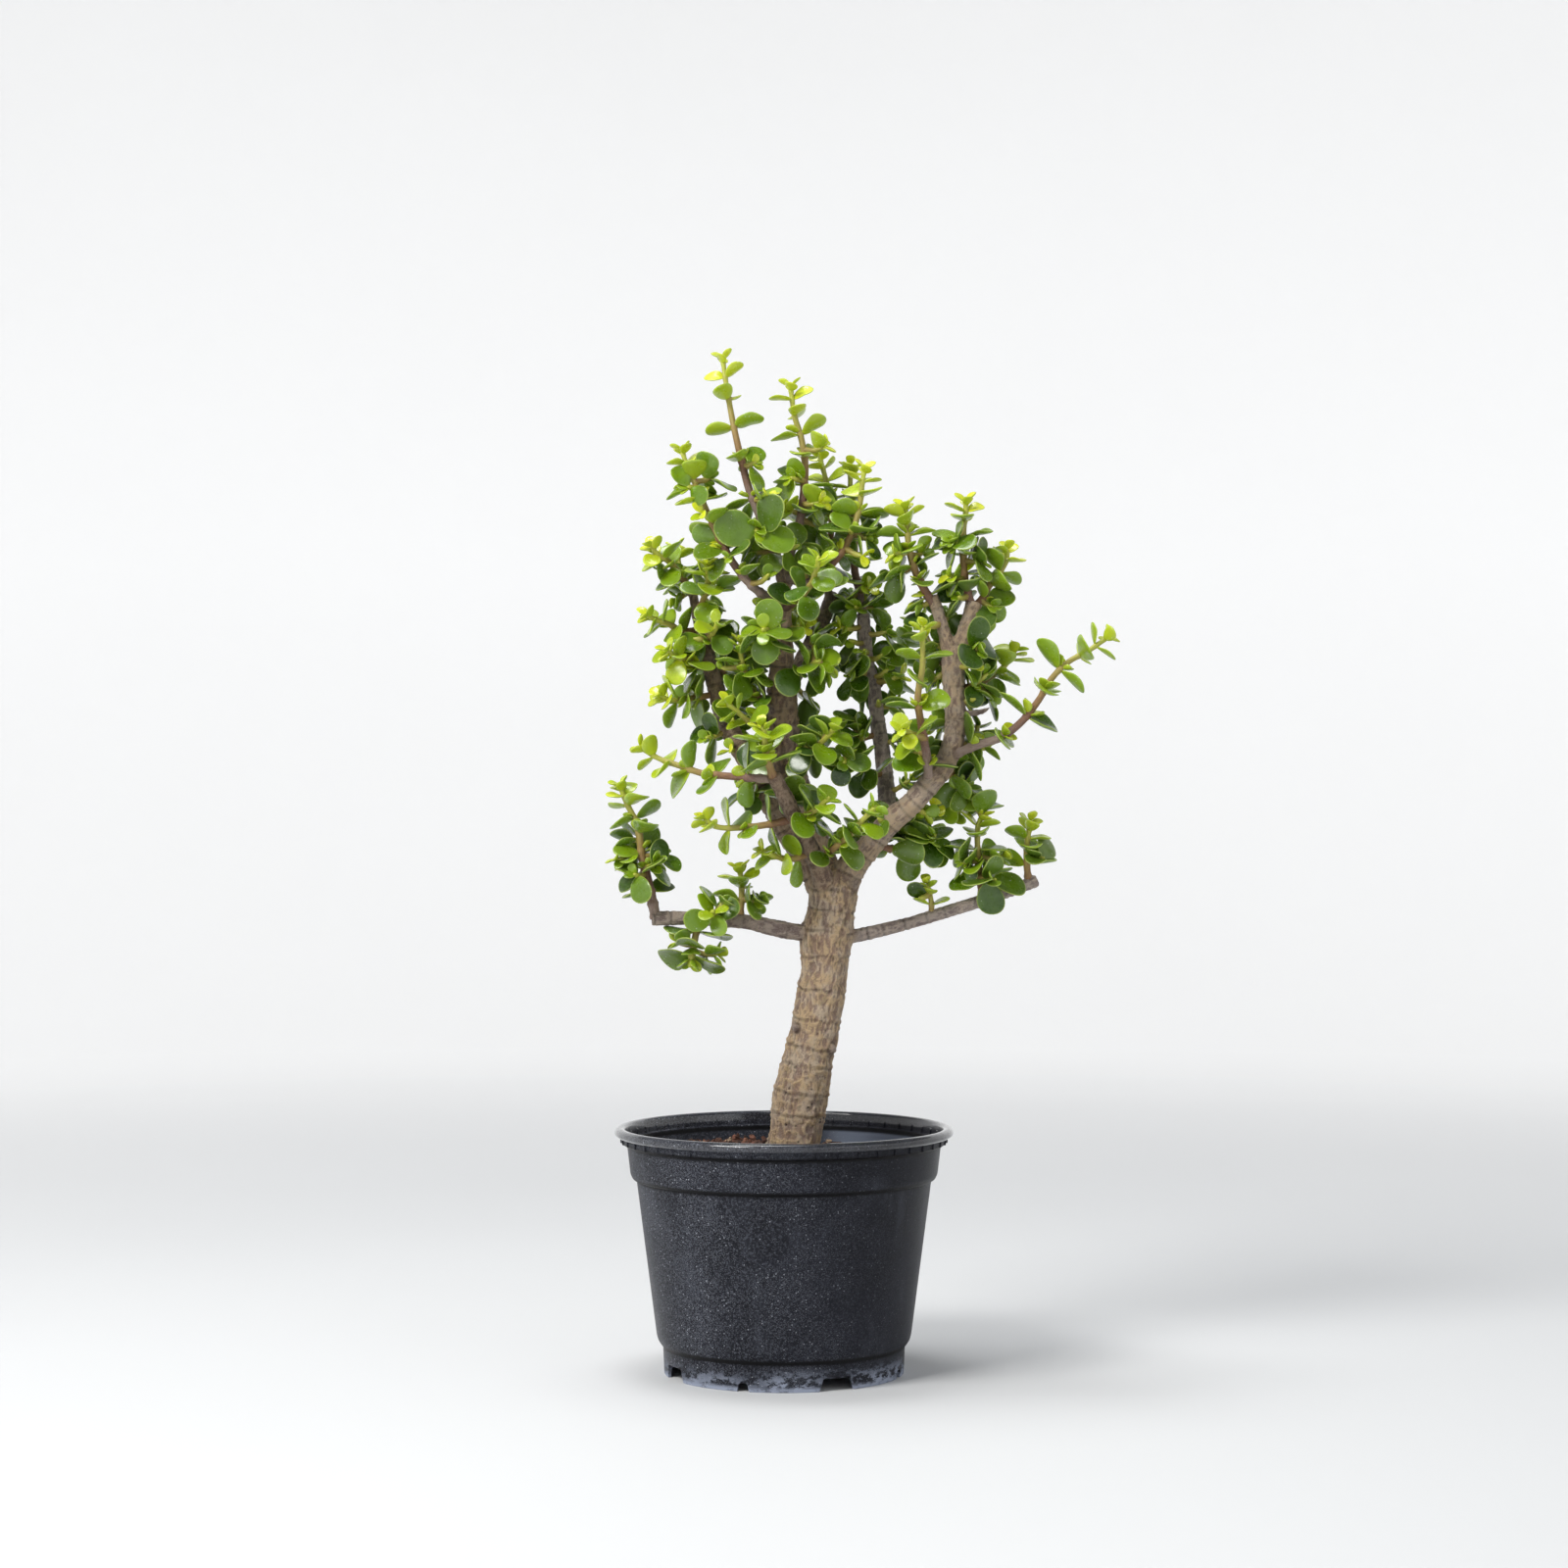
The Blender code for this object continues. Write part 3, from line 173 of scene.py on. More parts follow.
# ---------------------------------------------------------------- leafy shoots
# route: points in mm from the wood that the shoot grows from to its tip; thick: radius at both ends, mm;
# pairs: leaf pairs; leaf: length of a grown leaf, mm; roll: turn of the first pair about the stem, degrees;
# bare: share of the stem before the first pair; tip: whether it still grows, or was cut and ends bare.
Shoot = namedtuple("Shoot", "route thick pairs leaf roll bare tip", defaults=(13.0, 0.0, 0.2, True))
SHOOTS = {
    "shoot_crown_tall": Shoot(
        [(-2, -2, 382), (-6, -8, 392), (-11, -12, 403), (-16, -14, 415), (-20, -12, 430), (-24, -8, 448),
         (-27, -4, 465), (-29, -2, 479)], (1.9, 0.9), 7, 13.5, 90, 0.14),
    "shoot_crown_second": Shoot(
        [(-1, -1, 379), (4, 0, 390), (7, 1, 400), (9, 3, 413), (10, 5, 430), (8, 6, 443), (5, 6, 453), (3, 6, 467)],
        (2.0, 0.9), 8, 12.5, 0, 0.16),
    "shoot_arch_left": Shoot(
        [(0, 1, 366), (-9, -7, 367), (-16, -12, 372), (-22, -14, 379), (-27, -15, 387), (-34, -15, 401),
         (-40, -13, 415), (-46, -11, 429), (-48, -10, 435)], (1.9, 0.9), 7, 13.0, 0, 0.3),
    "shoot_centre_arch_right": Shoot(
        [(0, 0, 376), (9, -6, 373), (17, -8, 375), (23, -8, 382), (27, -7, 387), (31, -6, 394), (34, -5, 402),
         (36, -4, 411), (37, -4, 420), (38, -4, 427)], (1.8, 0.9), 7, 13.0, 0, 0.3),
    "shoot_right_tall": Shoot(
        [(89, -2, 361), (86, -1, 371), (85, 0, 382), (85, 0, 398), (86, 0, 406), (86, 0, 412)],
        (1.9, 0.9), 7, 12.5, 90, 0.16),
    "shoot_right_inner_tall": Shoot(
        [(71, -4, 362), (66, -6, 370), (62, -7, 378), (59, -8, 388), (58, -8, 400), (57, -8, 409)],
        (1.8, 0.9), 8, 13.0, 0, 0.12),
    "shoot_right_reach": Shoot(
        [(77, -9, 290), (85, -12, 294), (93, -14, 297), (102, -16, 300), (111, -18, 307), (119, -18, 317),
         (125, -18, 327), (133, -16, 335), (142, -14, 340), (148, -12, 344), (152, -11, 347)],
        (1.9, 0.9), 8, 14.5, 90, 0.12),
    "shoot_centre_right_front": Shoot(
        [(68, -11, 278), (67, -20, 289), (64, -29, 304), (62, -34, 318), (64, -36, 332), (64, -37, 345),
         (64, -37, 351)], (1.9, 0.9), 7, 13.5, 0, 0.16),
    "shoot_right_front_rosette": Shoot(
        [(66, -26, 299), (60, -36, 301), (54, -44, 303)], (1.3, 0.9), 3, 13.5, 40, 0.5),
    "shoot_centre_rosette": Shoot([(0, 5, 349), (-5, -12, 349), (-10, -27, 350)], (1.4, 1.0), 4, 15.0, 0, 0.5),
    "shoot_centre_right_rosette": Shoot(
        [(-1, 9, 330), (8, -4, 332), (17, -17, 336)], (1.4, 1.0), 4, 14.5, 30, 0.5),
    "shoot_left_front_rosette": Shoot(
        [(-42, 18, 360), (-38, 6, 366), (-36, -4, 373), (-36, -9, 381)], (1.4, 0.9), 5, 13.5, 90, 0.4),
    "shoot_left_upper": Shoot(
        [(-44, 18, 369), (-49, 14, 377), (-55, 8, 384), (-60, 5, 387), (-63, 4, 391)], (1.5, 0.9), 5, 12.5, 0, 0.3),
    "shoot_left_upper_back": Shoot(
        [(-42, 18, 361), (-45, 26, 370), (-50, 30, 382), (-52, 31, 392)], (1.4, 0.9), 5, 12.5, 45, 0.35),
    "shoot_left_high": Shoot(
        [(-40, 17, 352), (-48, 13, 351), (-55, 8, 354), (-61, 5, 356), (-65, 3, 358)], (1.4, 0.9), 5, 13.0, 45, 0.3),
    "shoot_left_middle": Shoot(
        [(-35, 15, 333), (-41, 9, 334), (-46, 2, 337), (-51, -3, 338), (-55, -6, 341)], (1.4, 0.9), 5, 13.0, 80, 0.3),
    "shoot_left_lower": Shoot(
        [(-32, 14, 321), (-43, 10, 319), (-51, 7, 318), (-55, 5, 318), (-59, 3, 320)], (1.4, 0.9), 5, 14.0, 60, 0.3),
    "shoot_left_front_leafy": Shoot(
        [(-38, 17, 346), (-36, 5, 347), (-33, -4, 350), (-31, -9, 355)], (1.4, 0.9), 4, 13.5, 20, 0.45),
    "shoot_inner_left_upright": Shoot(
        [(-1, 10, 318), (-12, 5, 319), (-18, 1, 326), (-20, -2, 336), (-21, -4, 345)], (1.5, 0.9), 6, 12.5, 0, 0.3),
    "shoot_left_yellow": Shoot(
        [(1, 13, 298), (-8, -3, 302), (-16, -13, 307), (-22, -18, 312), (-27, -20, 316)], (1.4, 0.9), 4, 12.0, 90, 0.5),
    "shoot_left_mid": Shoot(
        [(-4, -43, 280), (-17, -42, 281), (-30, -40, 282), (-38, -38, 283), (-47, -36, 286), (-56, -34, 289),
         (-62, -33, 292), (-66, -32, 295)], (1.7, 0.9), 6, 13.5, 70, 0.2),
    "shoot_front_upright": Shoot(
        [(-5, -45, 281), (-8, -50, 291), (-9, -53, 300), (-10, -54, 305)], (1.6, 0.9), 5, 14.0, 0, 0.3),
    "shoot_left_reach": Shoot(
        [(5, -28, 262), (-3, -31, 260), (-17, -35, 258), (-30, -38, 258), (-37, -39, 262)], (1.6, 0.9), 5, 13.5, 70, 0.3),
    "shoot_left_low_fork": Shoot(
        [(13, -17, 246), (4, -22, 243), (-3, -27, 244), (-10, -32, 247)], (1.4, 0.9), 4, 12.5, 60, 0.3),
    "shoot_mid_front": Shoot(
        [(15, -13, 241), (22, -25, 247), (29, -32, 253), (35, -36, 260), (40, -38, 265), (43, -39, 268)],
        (1.5, 0.9), 6, 13.0, 45, 0.25),
    "shoot_mid_small": Shoot(
        [(5, -28, 262), (11, -34, 264), (17, -39, 268), (21, -42, 272)], (1.3, 0.9), 4, 13.0, 60, 0.35),
    "shoot_centre_low_right": Shoot(
        [(2, 13, 290), (10, -4, 292), (16, -13, 296), (21, -20, 301), (24, -22, 305)], (1.5, 0.9), 5, 14.5, 60, 0.4),
    "shoot_inner_low_left": Shoot(
        [(48, 16, 282), (40, 5, 284), (33, -4, 288), (29, -9, 291)], (1.4, 0.9), 5, 13.0, 30, 0.3),
    "shoot_inner_twig_left": Shoot(
        [(46, 22, 302), (36, 16, 300), (27, 10, 301), (22, 4, 305)], (1.4, 0.9), 4, 12.0, 45, 0.3),
    "shoot_inner_right_top": Shoot(
        [(38, 27, 358), (36, 27, 372), (34, 27, 381), (34, 28, 393), (33, 28, 411), (32, 28, 420), (32, 28, 432)],
        (1.8, 0.9), 9, 12.5, 0, 0.08),
    "shoot_crown_third": Shoot(
        [(22, 45, 366), (21, 36, 378), (22, 28, 392), (23, 26, 406), (22, 26, 416), (20, 26, 425), (17, 26, 436)],
        (1.7, 0.9), 8, 12.5, 45, 0.12),
    "shoot_front_centre": Shoot(
        [(0, 2, 361), (6, -14, 364), (12, -30, 370), (15, -40, 377), (16, -44, 383)], (1.5, 0.9), 6, 13.5, 20, 0.3),
    "shoot_right_mid": Shoot(
        [(80, -4, 322), (88, 4, 324), (94, 9, 326), (100, 13, 330), (107, 16, 336), (111, 17, 342)],
        (1.5, 0.9), 6, 13.5, 20, 0.25),
    "shoot_right_fork_out": Shoot(
        [(90, -2, 362), (95, 3, 367), (98, 6, 373), (103, 8, 379), (106, 8, 385), (106, 8, 390)],
        (1.5, 0.9), 5, 13.0, 55, 0.2),
    "shoot_right_low_out": Shoot(
        [(79, -7, 299), (87, 0, 296), (94, 5, 295), (99, 8, 297)], (1.4, 0.9), 4, 13.0, 60, 0.35),
    "shoot_right_low_back": Shoot(
        [(42, -5, 250), (52, 8, 247), (61, 18, 248), (67, 24, 254), (71, 28, 262)], (1.5, 0.9), 5, 15.5, 20, 0.3),
    "shoot_right_droop_back": Shoot(
        [(73, -10, 284), (79, 2, 282), (83, 11, 276), (84, 16, 268), (83, 18, 262)], (1.5, 0.9), 5, 14.0, 50, 0.3),
    "shoot_low_left_tall": Shoot(
        [(-60, -15, 215), (-62, -14, 224), (-64, -13, 233), (-67, -11, 245), (-68, -11, 254), (-70, -10, 261),
         (-74, -10, 269), (-77, -10, 277)], (2.1, 0.9), 8, 12.5, 30, 0.2),
    "shoot_low_left_mid": Shoot(
        [(-21, -9, 213), (-20, -9, 224), (-20, -8, 232), (-21, -8, 238)], (1.5, 0.9), 4, 13.0, 0, 0.45),
    "shoot_low_left_front": Shoot([(-33, -11, 214), (-33, -19, 216), (-33, -28, 219)], (1.4, 1.0), 3, 14.5, 20, 0.45),
    "shoot_low_left_hanging": Shoot(
        [(-40, -12, 215), (-42, -15, 204), (-44, -17, 192)], (1.4, 1.3), 3, 15.0, 0, 0.35, False),
    "shoot_low_right_small": Shoot([(70, 8, 215), (70, 7, 222), (68, 6, 231)], (1.2, 0.8), 3, 10.0, 0, 0.45),
    "shoot_low_right_mid": Shoot(
        [(95, 12, 222), (93, 9, 235), (92, 6, 247), (92, 5, 257), (94, 4, 263)], (1.6, 0.9), 6, 13.5, 0, 0.25),
    "shoot_low_right_end": Shoot(
        [(117, 15, 230), (116, 15, 240), (116, 14, 249), (117, 13, 256), (118, 13, 261)], (1.5, 0.9), 5, 12.5, 0, 0.35),
    "shoot_back_left": Shoot(
        [(-33, 14, 326), (-28, 32, 334), (-26, 46, 343), (-25, 55, 352)], (1.5, 0.9), 6, 13.5, 0, 0.3),
    "shoot_back_centre": Shoot(
        [(-1, 9, 328), (-6, 28, 336), (-9, 46, 347), (-10, 58, 359)], (1.6, 0.9), 7, 13.5, 45, 0.3),
    "shoot_back_right": Shoot(
        [(43, 24, 324), (52, 40, 332), (58, 54, 342), (61, 62, 352)], (1.6, 0.9), 6, 13.5, 0, 0.25),
    "shoot_back_top": Shoot(
        [(0, 1, 369), (4, 18, 378), (8, 32, 390), (9, 42, 402), (8, 48, 413)], (1.6, 0.9), 7, 13.0, 45, 0.35),
    "shoot_back_right_limb": Shoot(
        [(80, -4, 330), (74, 14, 338), (69, 28, 348), (66, 36, 359)], (1.5, 0.9), 6, 13.0, 30, 0.3),
}

# ---------------------------------------------------------------- how leaves sit on a shoot
CROWDING = 1.45  # above 1, pairs stand closer together towards the tip
TIP_SIZES = (0.5, 0.74, 0.9)  # of a grown leaf: the last pair, the one before it, and so on
TIP_LEANS = (50.0, 62.0, 68.0)  # degrees between the stem and the leaf
GROWN_LEAN = 72.0
OLD_LEAN = 82.0
LEAF_WIDE = 0.84  # of its length
LEAF_THICK = 0.12
LEAF_DROOP = 0.14  # how far the tip bends down, of its length
LIGHT_SEEKING = 0.5  # how far a blade turns about its own length to face the sky
NODE_HALF = 0.9  # half the height of the joint that a leaf pair grows from, mm
TIP_STUB = 2  # stem left beyond the last pair, mm
LONGEST_BARE = 16.0  # mm of stem between two cross-sections
CORNER = 1.18  # from the stem's radius to the corner of its square cross-section
# Outline of the solid that stands for a leaf: share of its length, share of its half width.
LEAF_OUTLINE = ((0.5, 1.0), (1.0, 0.5))
LEAF_CROWN = 0.5
CLEAR = 0.35  # room kept between leaves, mm
# What a leaf tries in turn when another is in its way: turn about the stem, change of lean, size.
WAYS_ROUND = (
    (0, 0, 1.0), (14, 0, 1.0), (-14, 0, 1.0), (0, 14, 1.0), (0, -14, 1.0), (28, 0, 1.0), (-28, 0, 1.0),
    (14, -16, 0.92), (-14, -16, 0.92), (14, 16, 0.92), (-14, 16, 0.92), (0, -28, 0.9), (0, 26, 0.9),
    (40, 0, 0.86), (-40, 0, 0.86), (0, 0, 0.74), (24, 16, 0.74), (-24, 16, 0.74), (24, -16, 0.74), (-24, -16, 0.74),
)
# pair: number of the pair and which side of the stem the leaf is on; rank: 0 for the last pair, 1 for the one before.
Leaf = namedtuple("Leaf", "shoot pair centre radius stem side lean twist length wide rank")

# ================================================================ sizes of the pot and its mix, mm
POT_FACETS_PER_RIB = 3
WALL = 1.2
RIB_OUT = 0.6
WIDE_NOTCH = (17.0, 14.0, 6.5)  # width at the foot, width at the top, height
NARROW_NOTCH = (5.4, 4.4, 4.0)
NOTCH_TURN = -64.4  # degrees
DRAIN_HOLE = (5.0, 44.0)  # radius, distance from the axis
# (radius, height, radius of the rounded corner) from the axis outwards under the pot, up its outside and down its inside.
POT_PROFILE = (
    (0.0, 0.6, 0), (8.6, 0.6, 0.4), (9.5, 0.0, 0.4), (10.0, 5.0, 0.7), (26.0, 5.0, 0.3), (26.5, 4.1, 0.3),
    (28.5, 4.1, 0.3), (29.0, 5.0, 0.3), (55.2, 5.0, 1.0), (55.2, 0.0, 0.35), (56.6, 0.0, 0.5), (57.2, 12.6, 0.5),
    (57.5, 13.1, 0.4), (59.4, 15.6, 1.6), (60.2, 18.2, 2.5), (69.75, 91.6, 0.5), (71.4, 91.7, 1.0), (72.6, 94.0, 2.2),
    (74.2, 107.6, 0.6), (75.2, 108.2, 0.5), (76.7, 108.5, 0.5), (76.9, 111.5, 0.35), (78.6, 111.6, 0.6),
    (80.0, 112.6, 1.1), (80.05, 114.9, 1.3), (77.9, 116.2, 1.8), (75.2, 115.6, 1.2), (74.6, 112.0, 1.5),
    (74.3, 109.6, 0.35), (73.0, 109.3, 0.4), (71.4, 95.0, 2.2), (68.7, 92.0, 1.0), (59.0, 18.0, 2.2), (57.0, 14.0, 1.2),
    (55.4, 7.2, 0.8), (55.0, 6.2, 0.3), (0.0, 6.2, 0),
)
RIB_ZONES = ((108.6, 111.4, 75.8, 77.6), (109.4, 112.6, 73.4, 74.75))  # heights and radii where ribs stand out
WALL_GLOW = (0.355, 0.35, 0.345)
MIX_TOP = 99.5
MIX_EDGE = 71.6
MIX_UNDER = ((71.2, 95.2), (68.2, 91.6), (58.6, 18.2), (56.4, 13.8), (54.9, 7.4), (54.6, 6.6))

# ================================================================ further details of the plant, mm
# How young each limb's bark looks and how grey, from 0 to 1.
WOOD_TONES = {
    "trunk": (0.0, 0.0), "limb_front": (0.85, 0.1), "limb_centre": (0.45, 0.1), "limb_left": (0.75, 0.1),
    "limb_right": (0.3, 0.5), "limb_inner_right": (0.9, 0.75), "limb_back": (0.9, 0.3),
    "branch_low_left": (0.85, 0.6), "branch_low_right": (0.8, 0.85),
}
# Short dead ends on the limbs: a line of (x, y, z, radius).
STUBS = (
    ((80, -4, 309, 2.0), (86, -6, 311, 1.5), (93, -7, 312, 1.2), (97, -7, 314, 0.7)),
    ((27, 1, 226, 3.2), (31, -4, 229, 2.4), (33, -7, 231, 1.9)),
    ((-4, 11, 312, 3.0), (-9, 3, 314, 2.0), (-11, 0, 315, 1.6)),
    ((14, 1, 160, 4.0), (6, -8, 163, 2.2), (4, -10, 164, 1.4)),
    ((12, 1, 150, 5.0), (22, -6, 153, 2.6), (24, -7, 154, 1.6)),
    ((-26, 11, 306, 2.6), (-31, 5, 309, 1.6), (-33, 3, 310, 1.2)),
)
# How much older than usual a shoot's leaves look, from 0 to 1.
OLDER_SHOOTS = {
    "shoot_centre_rosette": 0.32, "shoot_centre_right_rosette": 0.38, "shoot_low_left_front": 0.3,
    "shoot_left_front_leafy": 0.25, "shoot_low_left_hanging": 0.2, "shoot_mid_small": 0.25, "shoot_mid_front": 0.25,
    "shoot_centre_low_right": 0.25, "shoot_right_low_back": 0.3, "shoot_right_droop_back": 0.25,
    "shoot_inner_low_left": 0.3, "shoot_inner_twig_left": 0.3, "shoot_back_left": 0.2, "shoot_back_centre": 0.2,
    "shoot_back_right": 0.2, "shoot_back_right_limb": 0.2, "shoot_right_low_out": 0.25, "shoot_front_centre": 0.2,
    "shoot_left_low_fork": 0.1, "shoot_inner_left_upright": 0.15,
}
# Sprigs along the limbs: (x, y, z) of the tip, leaf pairs, length of a grown leaf.
SPRIGS = {
    "sprigs_crown": (
        (-13, -20, 396, 2, 18.5), (-38, -20, 405, 2, 13.5), (17, -4, 411, 3, 14.0), (-8, -20, 413, 2, 14.0),
        (31, -12, 398, 3, 13.0), (43, -4, 393, 3, 13.0), (37, -12, 385, 3, 13.0), (13, -18, 380, 3, 13.5),
        (7, -14, 390, 3, 13.0), (-28, -18, 384, 3, 13.5), (-7, -22, 376, 2, 14.5), (-20, -12, 374, 3, 13.0),
        (20, 6, 401, 3, 13.0), (2, 2, 408, 3, 12.5), (27, 12, 411, 3, 12.5), (-2, 10, 397, 3, 13.0),
        (24, 14, 391, 3, 13.0), (-18, 4, 389, 3, 13.0), (10, 20, 381, 3, 13.0), (30, 20, 387, 3, 13.0),
        (-31, -8, 424, 2, 13.5), (-13, -14, 429, 2, 12.5), (3, -2, 423, 3, 12.5), (19, 2, 438, 3, 12.0),
        (-32, -6, 393, 3, 12.5), (-45, -18, 417, 3, 12.0), (48, 2, 378, 3, 12.5), (52, -14, 386, 3, 12.0),
        (66, 0, 388, 3, 12.5), (78, -8, 392, 3, 12.0), (94, -2, 384, 3, 12.0), (-22, 12, 402, 3, 12.0),
    ),
    "sprigs_centre": (
        (-11, -17, 352, 3, 15.0), (-8, -12, 341, 2, 14.0), (22, -12, 333, 3, 14.0), (14, -10, 344, 3, 14.5),
        (8, -8, 329, 2, 13.5), (-12, -3, 331, 3, 13.0), (10, 0, 352, 3, 13.0), (-14, 6, 344, 3, 13.0),
        (14, 14, 338, 3, 13.0), (-13, 18, 322, 3, 13.0), (14, 20, 318, 3, 13.5), (-5, 26, 312, 3, 13.0),
        (-12, -4, 396, 2, 17.5), (5, 10, 362, 3, 12.5), (-10, 6, 362, 3, 12.5), (10, -6, 382, 3, 12.0),
        (-5, -1, 290, 2, 13.0), (12, 26, 296, 3, 13.0), (4, 28, 276, 3, 12.5), (-9, 16, 282, 3, 12.0),
    ),
    "sprigs_left": (
        (-35, 2, 357, 3, 13.0), (-30, 0, 333, 3, 12.5), (-37, 2, 300, 3, 12.0), (-24, 4, 322, 3, 12.5),
        (-46, 20, 344, 3, 12.5), (-28, 18, 345, 3, 12.5), (-44, 16, 324, 3, 12.5), (-22, 20, 318, 3, 12.5),
        (-38, 22, 308, 3, 12.0), (-52, 16, 366, 3, 12.0), (-36, 10, 366, 3, 12.0), (-34, 26, 356, 3, 12.5),
        (-18, 14, 300, 3, 12.0), (-26, 2, 294, 2, 12.0), (-48, 8, 340, 3, 12.5), (-43, 2, 347, 3, 12.5),
        (-24, -2, 309, 3, 12.5), (-9, 10, 290, 2, 12.0), (-17, -6, 286, 3, 12.0), (-55, 14, 376, 3, 11.5),
    ),
    "sprigs_grey_limb": (
        (34, 16, 363, 2, 13.0), (38, 12, 342, 3, 13.0), (45, 12, 318, 3, 13.0), (27, 18, 353, 3, 12.5),
        (31, 16, 347, 2, 12.5), (47, 16, 340, 3, 13.0), (31, 14, 330, 3, 12.5), (50, 18, 333, 3, 12.5),
        (56, 16, 330, 2, 14.5), (51, 22, 352, 3, 13.0), (32, 30, 336, 3, 12.5), (42, 38, 342, 3, 12.5),
        (38, 36, 322, 3, 12.5), (54, 28, 316, 3, 13.0), (35, 14, 312, 3, 12.5), (46, 34, 364, 3, 12.5),
        (30, 24, 368, 3, 12.0), (41, 18, 372, 3, 12.0), (38, 10, 300, 3, 12.0), (56, 20, 300, 3, 12.5),
        (24, 40, 350, 3, 12.5), (14, 36, 360, 3, 12.5), (30, 46, 362, 3, 12.0), (14, 24, 350, 3, 12.5),
    ),
    "sprigs_right": (
        (94, -12, 341, 2, 15.0), (88, -14, 334, 2, 13.0), (96, -8, 330, 3, 13.0), (90, -10, 318, 2, 15.5),
        (93, 6, 350, 3, 13.0), (66, -12, 352, 3, 13.0), (64, -2, 362, 3, 12.5), (78, 8, 358, 3, 12.5),
        (70, 4, 344, 3, 13.0), (88, 10, 338, 3, 13.0), (68, 2, 326, 3, 13.0), (92, 4, 308, 3, 12.5),
        (72, 8, 306, 3, 12.5), (98, -2, 362, 3, 12.5), (82, -10, 366, 3, 12.5), (78, -8, 376, 2, 12.0),
        (92, -6, 374, 3, 12.0), (68, 6, 292, 3, 12.5), (60, 4, 280, 3, 12.5), (98, 2, 320, 3, 13.0),
    ),
    "sprigs_hanging": (
        (72, 4, 254, 3, 14.0), (67, 2, 264, 3, 13.0), (75, 8, 268, 3, 13.0), (88, 4, 276, 3, 13.0),
        (91, 8, 268, 3, 13.0), (50, 8, 248, 3, 13.0), (61, 8, 256, 3, 13.5), (56, 12, 262, 2, 13.0),
        (42, 12, 262, 3, 12.5), (34, 12, 256, 3, 12.0), (80, 10, 290, 3, 12.5),
    ),
    "sprigs_low": (
        (-31, -14, 198, 2, 15.0), (-78, -16, 243, 2, 12.5), (-60, -20, 241, 3, 13.0), (-70, -22, 236, 2, 12.5),
        (-56, -6, 246, 3, 12.0), (-10, -10, 224, 3, 11.5), (100, -4, 233, 2, 15.5), (84, 4, 241, 3, 12.0),
        (104, 6, 244, 3, 12.0), (124, 10, 243, 3, 12.0), (64, 2, 224, 2, 10.0), (-50, -14, 204, 2, 13.0),
        (-27, -20, 224, 2, 12.5), (-72, -4, 252, 2, 12.0),
    ),
    "sprigs_fork": (
        (20, -12, 305, 3, 12.0), (28, -16, 288, 3, 11.5), (8, -14, 296, 3, 12.0), (-21, -14, 275, 3, 11.5),
        (5, -20, 277, 3, 11.5), (57, -14, 296, 3, 12.0), (44, -14, 262, 2, 11.0), (16, -22, 266, 2, 11.0),
    ),
}


# ================================================================ lines and leaves
def smooth_route(points, step):
    """Points about step apart on a Catmull-Rom curve through the given ones. Works on any number of values a point."""
    ends = [[2 * a - b for a, b in zip(points[0], points[1])], [2 * a - b for a, b in zip(points[-1], points[-2])]]
    knots = [ends[0], *points, ends[1]]
    made = []
    for k in range(1, len(knots) - 2):
        p0, p1, p2, p3 = knots[k - 1 : k + 3]
        pieces = max(1, round(math.dist(p1[:3], p2[:3]) / step))
        for j in range(pieces):
            t = j / pieces
            made.append([
                0.5 * (2 * b + (c - a) * t + (2 * a - 5 * b + 4 * c - d) * t**2 + (3 * b - a - 3 * c + d) * t**3)
                for a, b, c, d in zip(p0, p1, p2, p3)
            ])
    made.append(list(points[-1]))
    return made


def frames_along(line):
    """(centre, tangent, across) for each point of a line, with no twist between neighbours."""
    centres = [Vector(p[:3]) for p in line]
    across = None
    made = []
    for i, centre in enumerate(centres):
        tangent = (centres[min(i + 1, len(centres) - 1)] - centres[max(i - 1, 0)]).normalized()
        if across is None:
            start = Vector((1, 0, 0)) if abs(tangent.x) < 0.8 else Vector((0, 1, 0))
            across = (start - tangent * start.dot(tangent)).normalized()
        else:
            across = (across - tangent * across.dot(tangent)).normalized()
        made.append((centre, tangent, across))
    return made


def stem_line(shoot):
    """A shoot's stem as (x, y, z, radius), a millimetre apart, thinning evenly from its foot to its tip."""
    route = smooth_route(shoot.route, 1.0)
    first, last = shoot.thick
    return [(*p, first + (last - first) * i / (len(route) - 1)) for i, p in enumerate(route)]


def pair_places(shoot, line):
    """Where on a stem's line its leaf pairs sit, from the foot up."""
    last = len(line) - 1 - TIP_STUB
    places = []
    for i in range(shoot.pairs):
        share = i / max(1, shoot.pairs - 1)
        along = shoot.bare + (1 - shoot.bare) * (1 - (1 - share) ** CROWDING)
        place = round(along * last * (1.0 if shoot.tip else 0.85))
        places.append(max(place, places[-1] + 3) if places else place)
    return [min(place, last) for place in places]


def bare_places(start, end):
    """Where between two places on a stem it has another cross-section, so that none is far from the next."""
    pieces = int((end - start) / LONGEST_BARE) + 1
    return [round(start + (end - start) * k / pieces) for k in range(1, pieces)]


def coarse_stem(shoot):
    """The stem's line at the cross-sections of its solid only, as thick as their corners."""
    line = stem_line(shoot)
    places = [0]
    for place in [*pair_places(shoot, line), len(line) - 1]:
        places += [*bare_places(places[-1], place), place]
    return [(*line[at][:3], line[at][3] * CORNER) for at in places]


